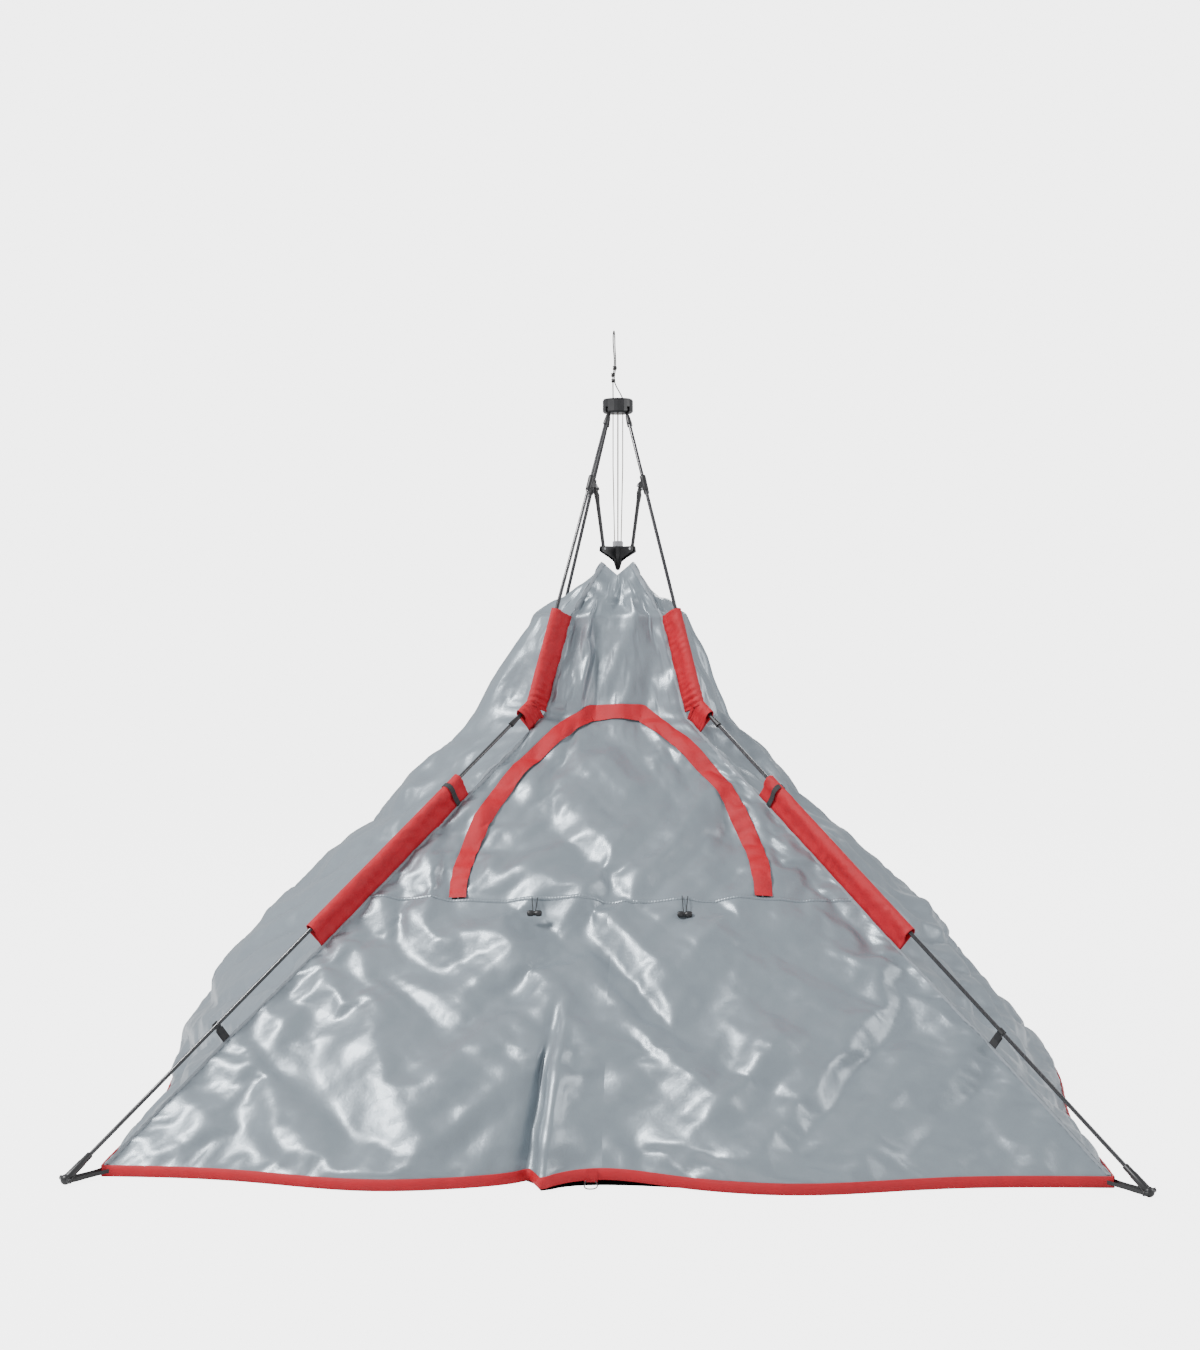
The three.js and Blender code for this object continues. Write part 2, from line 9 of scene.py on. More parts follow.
import bpy
import numpy as np
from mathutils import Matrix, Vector


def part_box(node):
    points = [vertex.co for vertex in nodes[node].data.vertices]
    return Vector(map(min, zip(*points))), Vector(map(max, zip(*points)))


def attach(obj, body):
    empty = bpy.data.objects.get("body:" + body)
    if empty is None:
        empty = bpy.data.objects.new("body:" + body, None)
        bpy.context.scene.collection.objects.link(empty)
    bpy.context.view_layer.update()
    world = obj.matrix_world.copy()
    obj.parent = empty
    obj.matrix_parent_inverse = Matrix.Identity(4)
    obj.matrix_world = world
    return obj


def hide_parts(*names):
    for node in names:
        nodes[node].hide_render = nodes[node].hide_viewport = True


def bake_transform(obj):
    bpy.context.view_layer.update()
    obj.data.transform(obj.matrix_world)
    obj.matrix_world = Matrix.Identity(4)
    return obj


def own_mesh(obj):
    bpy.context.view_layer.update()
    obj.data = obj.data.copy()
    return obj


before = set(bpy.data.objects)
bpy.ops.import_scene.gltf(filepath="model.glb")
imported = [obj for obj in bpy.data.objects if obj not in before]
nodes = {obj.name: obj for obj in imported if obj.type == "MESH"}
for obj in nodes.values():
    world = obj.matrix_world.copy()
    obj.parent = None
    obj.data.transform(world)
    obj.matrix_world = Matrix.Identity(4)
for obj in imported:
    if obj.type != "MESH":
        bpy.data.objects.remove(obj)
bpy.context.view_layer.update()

# %% [markdown]
# ## Sizes
# The leg lies in its own radial plane, as distance from the axis and height, in metres. The fabric's
# ridge runs along the leg, RIDGE_DROP inside the pole. All other places are worked out from these.

# %% Driving sizes
CORNERS = {"front_right": -45, "back_right": 45, "back_left": 135, "front_left": 225}
SIDES = {"front": 0, "right": 90, "back": 180, "left": 270}
LEFT_RIGHT = {
    "front": ("front_left", "front_right"),
    "right": ("front_right", "back_right"),
    "back": ("back_right", "back_left"),
    "left": ("back_left", "front_left"),
}
HUB_PIN = np.array([0.030, 1.711])
UPPER_LENGTH, UPPER_ANGLE = 0.800, math.radians(19.5)
LOWER_LENGTH, FOOT_RADIUS, POLE_RADIUS = 1.584, 0.011, 0.0045
HUB_BOTTOM, HUB_TOP = 1.703, 1.740
RUNNER_EYE = np.array([0.052, 1.351])
BRACKET_AT, LUG_OFFSET, STRUT_LENGTH, KNEE_TONGUE = 0.205, 0.018, 0.163, 0.044
RIDGE_DROP, CLIP_AT = 0.050, 1.128
SLEEVE_UPPER, SLEEVE_LOWER = (0.549, 0.845), (0.290, 0.827)
NECK, HEM_CORNER, NECK_DIP = np.array([0.058, 1.318]), np.array([1.485, 0.0204]), 0.035
WALL_BULGE = {
    "front": [0, -0.005, -0.015, 0, 0.040, 0.070, 0.015],
    "right": [0, 0.055, 0.110, 0.100, 0.125, 0.100, 0.050],
    "back": [0, 0.050, 0.100, 0.095, 0.115, 0.100, 0.050],
    "left": [0, 0.100, 0.190, 0.190, 0.230, 0.210, 0.060],
}
ARCH_FOOT, ARCH_HALF, ARCH_RISE, ARCH_CUT, FLAP_WIDTH = 0.525, 0.354, 0.630, 0.94, 0.042
ARCH_TOP = ARCH_CUT * ARCH_RISE

UPPER_WAY = np.array([math.sin(UPPER_ANGLE), -math.cos(UPPER_ANGLE)])
UPPER_INWARD = np.array([UPPER_WAY[1], -UPPER_WAY[0]])
KNEE = HUB_PIN + UPPER_LENGTH * UPPER_WAY
FALL = KNEE[1] - FOOT_RADIUS
FOOT = np.array([KNEE[0] + math.sqrt(LOWER_LENGTH**2 - FALL**2), FOOT_RADIUS])
LOWER_WAY = (FOOT - KNEE) / LOWER_LENGTH
LOWER_INWARD = np.array([LOWER_WAY[1], -LOWER_WAY[0]])
LUG = HUB_PIN + BRACKET_AT * UPPER_WAY + LUG_OFFSET * UPPER_INWARD


def on_upper(length):
    return HUB_PIN + length * UPPER_WAY


def on_lower(length):
    return KNEE + length * LOWER_WAY


def at_corner(corner, point, sideways=0.0):
    """(x, y, z) of a point (r, z) in one leg's plane: x = r cos a - t sin a, y = r sin a + t cos a."""
    a = math.radians(CORNERS[corner])
    r, z = point
    return np.array([r * math.cos(a) - sideways * math.sin(a), r * math.sin(a) + sideways * math.cos(a), z])


RIDGE = np.array([
    NECK,
    on_upper(SLEEVE_UPPER[0]) + RIDGE_DROP * UPPER_INWARD,
    KNEE + 0.57 * RIDGE_DROP * (UPPER_INWARD + LOWER_INWARD),
    on_lower(SLEEVE_LOWER[0]) + RIDGE_DROP * LOWER_INWARD,
    on_lower(SLEEVE_LOWER[1]) + RIDGE_DROP * LOWER_INWARD,
    on_lower(CLIP_AT) + (RIDGE_DROP - 0.008) * LOWER_INWARD,
    HEM_CORNER,
])
RIDGE_AT = np.concatenate([[0], np.cumsum(np.linalg.norm(np.diff(RIDGE, axis=0), axis=1))])
RIDGE_LENGTH = RIDGE_AT[-1]
RIDGE_AT /= RIDGE_LENGTH
KNEE_V = RIDGE_AT[2]
print("knee", KNEE, "foot", FOOT, "ridge length", round(RIDGE_LENGTH, 3))

# %% [markdown]
# ## Camera and pull cord
# They come first. The pull cord is one doubled cord: it leaves one hole in the top hub, runs up to a
# loop, and comes back down through the knots to the other hole.

# %% Camera
camera = bpy.data.objects.new("Camera", bpy.data.cameras.new("Camera"))
bpy.context.scene.collection.objects.link(camera)
bpy.context.scene.camera = camera
camera.data.sensor_fit, camera.data.sensor_height = "VERTICAL", 36
camera.data.lens = 51.2
camera.location = (0.15, -5.0, 1.167)
camera.rotation_euler = (math.radians(90 - 1.64), 0, math.radians(2.25))


def spline(name, points, radius, resolution=6, sides=4, smooth=True):
    """A round tube along one open NURBS or poly curve."""
    curve = bpy.data.curves.new(name, "CURVE")
    curve.dimensions, curve.bevel_depth, curve.bevel_resolution = "3D", radius, sides
    curve.use_fill_caps = True
    line = curve.splines.new("NURBS" if smooth else "POLY")
    line.points.add(len(points) - 1)
    flat = np.column_stack([np.array(points, float), np.ones(len(points))])
    line.points.foreach_set("co", flat.ravel())
    if smooth:
        line.use_endpoint_u, line.order_u, line.resolution_u = True, 3, resolution
    obj = bpy.data.objects.new(name, curve)
    bpy.context.scene.collection.objects.link(obj)
    return obj


def line_length(points):
    return float(np.linalg.norm(np.diff(np.array(points, float), axis=0), axis=1).sum())


PULL_RADIUS = 0.0016
PULL_ROUTE = [
    (-0.0125, 0.000, 1.7420), (-0.0125, 0.000, 1.7560), (-0.0128, 0.000, 1.7700), (-0.0128, 0.001, 1.7850),
    (-0.0135, 0.002, 1.8000), (-0.0100, 0.002, 1.8150), (-0.0090, 0.002, 1.8400), (-0.0115, 0.002, 1.8700),
    (-0.0128, 0.001, 1.9000), (-0.0112, 0.000, 1.9170), (-0.0090, 0.000, 1.9150), (-0.0080, -0.001, 1.8980),
    (-0.0075, -0.002, 1.8700), (-0.0055, -0.002, 1.8400), (-0.0060, -0.002, 1.8150), (-0.0095, -0.002, 1.8000),
    (-0.0090, -0.001, 1.7850), (-0.0040, 0.000, 1.7720), (0.0050, 0.000, 1.7570), (0.0125, 0.000, 1.7420),
]
pull_cord = spline("pull_cord_line", PULL_ROUTE, PULL_RADIUS)
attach(pull_cord, "pull_cord")
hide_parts("pull_cord")
print("pull cord", round(line_length(PULL_ROUTE), 3), "m")

# %% [markdown]
# ## Shader values
# A small class lets shader maths be written as sums and products. `Maker.node` makes every other node.


# %% Shader helper
class Value:
    """One socket of a shader tree. a + b, a - b and a * b each add a Math node."""

    def __init__(self, maker, socket):
        self.maker, self.socket = maker, socket

    def _math(self, operation, other):
        return self.maker.node("ShaderNodeMath", {0: self, 1: other}, operation=operation)

    def __add__(self, other):
        return self._math("ADD", other)

    def __sub__(self, other):
        return self._math("SUBTRACT", other)

    def __mul__(self, other):
        return self._math("MULTIPLY", other)


class Maker:
    """Makes one material's nodes."""

    def __init__(self, name):
        self.material = bpy.data.materials.new(name)
        self.material.use_nodes = True
        self.tree = self.material.node_tree
        self.shader = self.tree.nodes["Principled BSDF"]

    def node(self, kind, inputs=None, output=0, **settings):
        made = self.tree.nodes.new(kind)
        for key, value in settings.items():
            setattr(made, key, value)
        for key, value in (inputs or {}).items():
            if isinstance(value, Value):
                self.tree.links.new(value.socket, made.inputs[key])
            else:
                made.inputs[key].default_value = value
        return Value(self, made.outputs[output])

    def place(self, stretch=(1, 1, 1)):
        spot = self.node("ShaderNodeTexCoord", output="Object")
        return self.node("ShaderNodeMapping", {"Vector": spot, "Scale": stretch})

    def noise(self, scale, detail=4, rough=0.55, stretch=(1, 1, 1)):
        place = self.place(stretch)
        sizes = {"Scale": scale, "Detail": detail, "Roughness": rough}
        return self.node("ShaderNodeTexNoise", {"Vector": place, **sizes})

    def waves(self, scale, direction, distortion=0.0):
        return self.node(
            "ShaderNodeTexWave",
            {"Vector": self.place(), "Scale": scale, "Distortion": distortion},
            output=1, wave_type="BANDS", bands_direction=direction,
        )

    def mix(self, share, first, second):
        return self.node(
            "ShaderNodeMix", {0: share, 6: (*first, 1), 7: (*second, 1)}, output=2, data_type="RGBA",
        )

    def bump(self, height, strength, distance):
        return self.node("ShaderNodeBump", {"Height": height, "Strength": strength, "Distance": distance})

    def finish(self, **sockets):
        for key, value in sockets.items():
            target = self.shader.inputs[key.replace("_", " ")]
            if isinstance(value, Value):
                self.tree.links.new(value.socket, target)
            else:
                target.default_value = value
        return self.material

# %% [markdown]
# ## Finishes
# The real cloth is polyester with a silver coating, which is glossy and slightly cloudy. The red parts are
# matt woven cloth, the fittings moulded plastic, and the poles lacquered glass fibre. Each is made from
# noise and waves in object space, so it needs no pictures and has no seams.


# %% Finishes
def coated_polyester():
    """Silver coating over plain weave: cloudy tone, fine crinkles and a hint of the threads."""
    m = Maker("coated_polyester")
    cloud = m.noise(2.4, 3)
    crinkle = m.noise(42, 5, 0.6)
    threads = m.waves(700, "DIAGONAL") * 0.5 + m.waves(700, "Z") * 0.5
    tone = m.mix(cloud * 0.7 + crinkle * 0.3, (0.20, 0.235, 0.265), (0.29, 0.335, 0.37))
    height = crinkle * 0.0016 + threads * 0.00006 + m.noise(11, 3) * 0.002
    return m.finish(
        Base_Color=tone, Roughness=crinkle * 0.16 + 0.27, Metallic=0.35,
        Normal=m.bump(height, 0.5, 1.0), Coat_Weight=0.10,
    )


def red_binding():
    """Red woven polyester with a fine rib."""
    m = Maker("red_binding")
    worn = m.noise(30, 4)
    rib = m.waves(420, "Z", 0.4) * 0.5 + m.waves(420, "X", 0.4) * 0.5
    tone = m.mix(worn, (0.38, 0.0002, 0.007), (0.52, 0.0008, 0.014))
    return m.finish(
        Base_Color=tone, Roughness=worn * 0.2 + 0.50, Normal=m.bump(rib * 0.0003 + worn * 0.002, 0.6, 1.0),
    )


def moulded(name, colour, rough):
    """Moulded plastic with a fine spark-eroded grain and slight rubbing."""
    m = Maker(name)
    grain = m.noise(900, 2)
    rub = m.noise(45, 4)
    lighter = tuple(min(1.0, c * 1.7 + 0.012) for c in colour)
    tone = m.mix(rub * 0.5, colour, lighter)
    return m.finish(Base_Color=tone, Roughness=rub * 0.18 + rough, Normal=m.bump(grain * 0.00008, 0.5, 1.0))


def glass_fibre():
    """Black lacquered glass-fibre rod, with faint lengthwise streaks."""
    m = Maker("glass_fibre")
    streak = m.noise(60, 3, 0.5, (3, 3, 0.6))
    tone = m.mix(streak, (0.010, 0.010, 0.012), (0.040, 0.040, 0.044))
    return m.finish(Base_Color=tone, Roughness=streak * 0.2 + 0.16, Coat_Weight=0.5)


def webbing(name, dark, light):
    """Narrow woven webbing: diagonal ribs."""
    m = Maker(name)
    rib = m.waves(260, "DIAGONAL", 0.5)
    fuzz = m.noise(300, 3)
    tone = m.mix(rib * 0.6 + fuzz * 0.4, dark, light)
    return m.finish(Base_Color=tone, Roughness=fuzz * 0.15 + 0.7, Normal=m.bump(rib * 0.0004, 0.7, 1.0))


silver, red = coated_polyester(), red_binding()
black = moulded("black_plastic", (0.012, 0.012, 0.013), 0.30)
grey = moulded("grey_plastic", (0.30, 0.30, 0.31), 0.38)
rod_black = glass_fibre()
strap_black = webbing("black_webbing", (0.010, 0.010, 0.011), (0.050, 0.050, 0.052))
cord_brown = webbing("cord_weave", (0.10, 0.082, 0.066), (0.26, 0.22, 0.18))
tape_pale = webbing("seam_tape", (0.22, 0.25, 0.28), (0.31, 0.34, 0.37))
cord_black = webbing("black_cord", (0.010, 0.010, 0.010), (0.045, 0.043, 0.042))
# Near-black groundsheet. The strip of it that shows below the front hem also stands in for the shadow under the hem
# fold: a painted shadow.
groundsheet_black_and_hem_shadow = webbing("groundsheet_weave_and_hem_shadow", (0.012, 0.012, 0.014), (0.035, 0.035, 0.038))
print(len(bpy.data.materials), "materials")

# %% [markdown]
# ## Mesh makers
# Every mesh is a grid of points, written at once from numpy arrays.


# %% Mesh makers
def mesh_from(name, points, faces, material, smooth=True):
    mesh = bpy.data.meshes.new(name)
    mesh.from_pydata(np.asarray(points, float).reshape(-1, 3).tolist(), [], np.asarray(faces).tolist())
    mesh.polygons.foreach_set("use_smooth", np.full(len(mesh.polygons), smooth))
    mesh.materials.append(material)
    mesh.update()
    obj = bpy.data.objects.new(name, mesh)
    bpy.context.scene.collection.objects.link(obj)
    return obj


def grid_faces(rows, columns, close=False, keep=None):
    """Quads of a rows x columns grid of points; close joins the last column to the first."""
    index = np.arange(rows * columns).reshape(rows, columns)
    right = np.roll(index, -1, axis=1) if close else index[:, 1:]
    left = index if close else index[:, :-1]
    quads = np.stack([left[:-1], left[1:], right[1:], right[:-1]], axis=-1)
    return quads.reshape(-1, 4) if keep is None else quads[keep]


def along(points):
    """Unit tangents of a line of points."""
    way = np.gradient(np.asarray(points, float), axis=0)
    return way / np.linalg.norm(way, axis=1, keepdims=True)


def turned(name, start, end, profile, material, sides=24):
    """A round body from start to end: profile rows are (share of the length, radius), both ends closed."""
    start, end = np.asarray(start, float), np.asarray(end, float)
    way = (end - start) / np.linalg.norm(end - start)
    side = np.cross(way, (0, 0, 1) if abs(way[2]) < 0.9 else (1, 0, 0))
    side = side / np.linalg.norm(side)
    up = np.cross(way, side)
    profile = np.array([(profile[0][0], 1e-5), *profile, (profile[-1][0], 1e-5)], float)
    turn = np.linspace(0, 2 * math.pi, sides, endpoint=False)
    ring = np.cos(turn)[:, None] * side + np.sin(turn)[:, None] * up
    points = start + profile[:, 0, None, None] * (end - start) + profile[:, 1, None, None] * ring
    return mesh_from(name, points, grid_faces(len(profile), sides, close=True), material)


def bevelled(obj, width=0.0006, segments=2):
    edge = obj.modifiers.new("soft edges", "BEVEL")
    edge.width, edge.segments, edge.limit_method = width, segments, "ANGLE"
    edge.angle_limit = math.radians(40)
    return obj


def rides(obj, body, slot, *stands_for):
    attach(obj, body)
    if stands_for:
        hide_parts(*stands_for)
    return obj

# %% [markdown]
# ## The slack walls
# Each wall is a grid: u from -1 at its left ridge to 1 at its right, v from 0 at the neck to 1 at the
# hem. The cloth is grown a few per cent between its sewn edges, so that it buckles into soft crumples.


# %% Wall shape
def ridge_at(v):
    return np.interp(v, RIDGE_AT, RIDGE[:, 0]) / math.sqrt(2), np.interp(v, RIDGE_AT, RIDGE[:, 1])


def smooth_step(x):
    x = np.clip(x, 0, 1)
    return x * x * (3 - 2 * x)


def wall_shape(side, u, v):
    """Smooth wall facing -Y: y = -(reach + bulge (1 - u^2)^2), with two lobes at the front hem."""
    reach, height = ridge_at(v)
    bulge = np.interp(v, RIDGE_AT, WALL_BULGE[side]) * (1 - u * u) ** 2
    low = smooth_step((v - 0.72) / 0.28)
    if side == "front":
        lobes = np.exp(-(((u + 0.46) / 0.26) ** 2)) + 0.9 * np.exp(-(((u - 0.38) / 0.26) ** 2))
        bulge = bulge + 0.075 * lobes * low * (1 - u**4)
        height = height + 0.014 * np.exp(-((u / 0.13) ** 2)) * smooth_step((v - 0.9) / 0.1)
        across = (u + 0.115 + 0.05 * (1 - v)) / 0.045
        upright = np.exp(-abs(across)) * np.sign(across + 0.3) * smooth_step((v - 0.70) / 0.2)
        bulge = bulge + 0.050 * upright * (1 - u**4)
    else:
        bulge = bulge + 0.020 * np.sin(5.3 * u + 1.7) * low * (1 - u**4)
    dip = NECK_DIP * (1 - abs(u)) * np.clip(1 - v / RIDGE_AT[1], 0, 1)
    return np.stack([u * reach, -(reach + bulge + dip / 2), height - dip], axis=-1)


ACROSS, DOWN = 84, 100  # cells of the simulated cloth
FINE = 2  # times finer for the shown cloth
GROWTH = 0.022  # extra cloth between the sewn edges, each way


def soft_noise(rows, columns, cells, seed):
    """Smooth random field in -1..1: random cells blown up by cosine-weighted interpolation."""
    cell = np.random.default_rng(seed).uniform(-1, 1, (cells + 2, cells + 2))
    r, c = np.linspace(0, cells, rows), np.linspace(0, cells, columns)
    i, j = np.floor(r).astype(int), np.floor(c).astype(int)
    a, b = smooth_step(r - i)[:, None], smooth_step(c - j)[None, :]
    top = cell[i][:, j] * (1 - b) + cell[i][:, j + 1] * b
    low = cell[i + 1][:, j] * (1 - b) + cell[i + 1][:, j + 1] * b
    return top * (1 - a) + low * a


def creases(side, u, v, size, count, seed):
    """Facets with sharp folds: triangle waves t = 4 |frac(w) - 1/2| - 1 whose phase and strength wander."""
    draw = np.random.default_rng(seed)
    x, y = u * ridge_at(v)[0], v * RIDGE_LENGTH
    total = np.zeros_like(u)
    for number in range(count):
        angle = draw.choice([-1, 1]) * draw.uniform(0.35, 1.25)
        phase = (x * math.cos(angle) + y * math.sin(angle)) / (size * draw.uniform(0.75, 1.4))
        phase = phase + 0.45 * soft_noise(*u.shape, 5, seed + 3 * number)
        strength = np.clip(soft_noise(*u.shape, 6, seed + 3 * number + 1) * 1.5 + 0.25, 0, 1)
        total = total + (4 * abs(phase % 1 - 0.5) - 1) * strength
    return total / math.sqrt(count)


def averaged(grid, reach):
    """Mean over a square of (2 reach + 1) points a side, the edge points repeated."""
    for axis in (0, 1):
        wide = [(0, 0)] * grid.ndim
        wide[axis] = (reach + 1, reach)
        total = np.cumsum(np.pad(grid, wide, mode="edge"), axis=axis)
        window = 2 * reach + 1
        high = np.take(total, range(window, total.shape[axis]), axis=axis)
        grid = (high - np.take(total, range(0, total.shape[axis] - window), axis=axis)) / window
    return grid


def normals_of(points):
    along_v, along_u = np.gradient(points, axis=0), np.gradient(points, axis=1)
    normal = np.cross(along_v, along_u)
    return normal / np.maximum(np.linalg.norm(normal, axis=-1, keepdims=True), 1e-9)


def outward(normals):
    """The same normals, all pointing to -Y."""
    return normals * -np.sign(normals[..., 1].mean())


def hang(side):
    """Runs the cloth for one wall and returns its (DOWN + 1, ACROSS + 1, 3) points."""
    v, u = np.meshgrid(np.linspace(0, 1, DOWN + 1), np.linspace(-1, 1, ACROSS + 1), indexing="ij")
    seed = 11 + list(SIDES).index(side)
    start = wall_shape(side, u, v)
    free = smooth_step((1 - abs(u)) / 0.12) * smooth_step(v / 0.06) * smooth_step((1 - v) / 0.05)
    lower = smooth_step((v - 0.15) / 0.45)
    push = (0.6 + 0.4 * lower) * 0.020 * creases(side, u, v, 0.34, 6, seed * 100)
    push = push + (0.4 + 0.6 * lower) * 0.0125 * creases(side, u, v, 0.16, 7, seed * 100 + 40)
    push = push + (1 - lower) * 0.007 * np.sin(u * 9 + 3 * soft_noise(*u.shape, 3, seed + 5)) * (v > 0.05)
    start = start + normals_of(start) * (push * free)[..., None]
    cloth_mesh = mesh_from("cloth_" + side, start, grid_faces(DOWN + 1, ACROSS + 1), silver)
    group = cloth_mesh.vertex_groups.new(name="held")
    sewn = (abs(u) > 0.999) | (v < 0.001) | (v > 0.999)
    group.add(np.flatnonzero(sewn.ravel()).tolist(), 1.0, "REPLACE")
    group.add(np.flatnonzero(~sewn.ravel()).tolist(), 0.02, "REPLACE")
    cloth = cloth_mesh.modifiers.new("cloth", "CLOTH")
    rules = cloth.settings
    rules.quality, rules.mass, rules.air_damping = 5, 0.12, 2.0
    rules.tension_stiffness = rules.compression_stiffness = 40
    rules.shear_stiffness, rules.bending_stiffness = 22, 0.35
    rules.tension_damping = rules.compression_damping = rules.shear_damping = 8
    rules.vertex_group_mass, rules.pin_stiffness = "held", 0.6
    rules.shrink_min = -GROWTH
    rules.effector_weights.gravity = 0.03
    cloth.collision_settings.use_collision = False
    cloth.point_cache.frame_start, cloth.point_cache.frame_end = 1, 26
    for number in range(1, 27):
        bpy.context.scene.frame_set(number)
    seen = cloth_mesh.evaluated_get(bpy.context.evaluated_depsgraph_get())
    co = np.zeros(len(seen.data.vertices) * 3)
    seen.data.vertices.foreach_get("co", co)
    bpy.data.objects.remove(cloth_mesh)
    bpy.context.scene.frame_set(1)
    hung = co.reshape(start.shape)
    moved = hung - start
    moved = moved - averaged(averaged(moved, 7), 7) * free[..., None]
    far = np.linalg.norm(moved, axis=-1, keepdims=True)
    return start + moved * np.minimum(1, 0.035 / np.maximum(far, 1e-9))


def refine(values, factor):
    """Catmull-Rom interpolation of a grid along both axes, factor points for each cell."""
    for axis in (0, 1):
        values = np.moveaxis(values, axis, 0)
        n = len(values)
        t = np.arange((n - 1) * factor + 1) / factor
        k = np.minimum(t.astype(int), n - 2)
        f = (t - k).reshape(-1, *[1] * (values.ndim - 1))
        p = [values[np.clip(k + d, 0, n - 1)] for d in (-1, 0, 1, 2)]
        values = p[1] + 0.5 * f * (p[2] - p[0] + f * (
            2 * p[0] - 5 * p[1] + 4 * p[2] - p[3] + f * (3 * (p[1] - p[2]) + p[3] - p[0])))
        values = np.moveaxis(values, 0, axis)
    return values


def spin(points, degrees):
    """Turns points about +Z."""
    c, s = math.cos(math.radians(degrees)), math.sin(math.radians(degrees))
    x, y, z = np.moveaxis(np.asarray(points, float), -1, 0)
    return np.stack([c * x - s * y, s * x + c * y, z], axis=-1)


walls = {side: refine(hang(side), FINE) for side in SIDES}
for number, (side, points) in enumerate(walls.items()):
    v, u = np.meshgrid(*(np.linspace(low, 1, n) for low, n in zip((0, -1), points.shape[:2])), indexing="ij")
    free = smooth_step((1 - abs(u)) / 0.06) * smooth_step(v / 0.04) * smooth_step((1 - v) / 0.04)
    fine = 0.0036 * creases(side, u, v, 0.095, 6, 7000 + 100 * number)
    walls[side] = points - normals_of(points) * (fine * free)[..., None]
    print(side, "wall hung, lowest point", round(float(walls[side][..., 2].min()), 4))
wall_normals = {side: outward(normals_of(points)) for side, points in walls.items()}


def on_wall(side, u, v, lift=0.0):
    """Points on the hung wall at (u, v), moved out by lift, turned to face its side. Bilinear."""
    points, normals = walls[side], wall_normals[side]
    rows, columns = points.shape[:2]
    r = np.clip(np.asarray(v, float), 0, 1) * (rows - 1)
    c = (np.clip(np.asarray(u, float), -1, 1) + 1) / 2 * (columns - 1)
    i, j = np.minimum(r.astype(int), rows - 2), np.minimum(c.astype(int), columns - 2)
    a, b = (r - i)[..., None], (c - j)[..., None]

    def blend(grid):
        top = grid[i, j] * (1 - b) + grid[i, j + 1] * b
        return top * (1 - a) + (grid[i + 1, j] * (1 - b) + grid[i + 1, j + 1] * b) * a

    return spin(blend(points) + blend(normals) * np.asarray(lift, float)[..., None], SIDES[side])


# %% [markdown]
# ## The arch in cloth lengths
# On the front wall, a is measured across from the middle and l up the slope from the seam.
# The arch is a = A (1 - (l / L)^2)^0.8, cut flat at 0.94 L.

# %% Cloth lengths on the front wall
MIDDLE = wall_shape("front", np.zeros(800), np.linspace(0, 1, 800))
SEAM_V = float(np.interp(-ARCH_FOOT, -MIDDLE[:, 2], np.linspace(0, 1, 800)))
MIDDLE_LENGTH = np.concatenate([[0], np.cumsum(np.linalg.norm(np.diff(MIDDLE, axis=0), axis=1))])
SEAM_LENGTH = float(np.interp(SEAM_V, np.linspace(0, 1, 800), MIDDLE_LENGTH))


def cloth_to_uv(a, l):
    v = np.interp(SEAM_LENGTH - np.asarray(l, float), MIDDLE_LENGTH, np.linspace(0, 1, 800))
    return np.asarray(a, float) / ridge_at(v)[0], v


def arch_half(l):
    return ARCH_HALF * np.clip(1 - (np.clip(l, 0, None) / ARCH_RISE) ** 2, 0, 1) ** 0.8


def inside_arch(u, v):
    l = SEAM_LENGTH - np.interp(v, np.linspace(0, 1, 800), MIDDLE_LENGTH)
    return (l > 0) & (l < ARCH_TOP) & (abs(u) * ridge_at(v)[0] < arch_half(l))


def arch_line(count):
    """count points (a, l) round the arch from its left foot to its right, evenly spaced, with normals."""
    l = np.linspace(0, ARCH_TOP, 400)
    half = np.stack([arch_half(l), l], axis=-1)
    line = np.concatenate([half * [-1, 1], half[::-1]])
    gone = np.concatenate([[0], np.cumsum(np.linalg.norm(np.diff(line, axis=0), axis=1))])
    spots = np.stack([np.interp(np.linspace(0, gone[-1], count), gone, line[:, k]) for k in (0, 1)], axis=-1)
    way = along(spots)
    return spots, np.stack([-way[:, 1], way[:, 0]], axis=-1), gone[-1]


# %% [markdown]
# ## How far the cloth would follow the legs
# When the frame is pushed open, the feet slide out and the ridges go with them, while the middle of a wall and the
# neck stay. A share from 0 to 1 is worked out for each point, for how much it would follow its leg.

# %% Weights: how far each point follows its leg
def leg_share(side, u, v):
    """0 at the middle of a wall, 1 at its ridges from the knee down, falling to 0.1 at the neck."""
    down = np.interp(v, [0, RIDGE_AT[1], KNEE_V, 1], [0.10, 0.60, 1, 1])
    start = np.zeros_like(u)
    if side == "front":
        l = SEAM_LENGTH - np.interp(v, np.linspace(0, 1, 800), MIDDLE_LENGTH)
        inner = np.clip((arch_half(np.minimum(l, ARCH_TOP)) + FLAP_WIDTH) / ridge_at(v)[0], 0, 0.88)
        start = inner * smooth_step((l + 0.25) / 0.25) * smooth_step((ARCH_TOP + 0.24 - l) / 0.18)
    return down * smooth_step((abs(u) - start) / (1 - start))


def follow_leg(obj, corner, share):
    """Bakes the piece's transform into its mesh; the share for each point is not used."""
    far = at_corner(corner, FOOT)
    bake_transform(obj)
    return obj
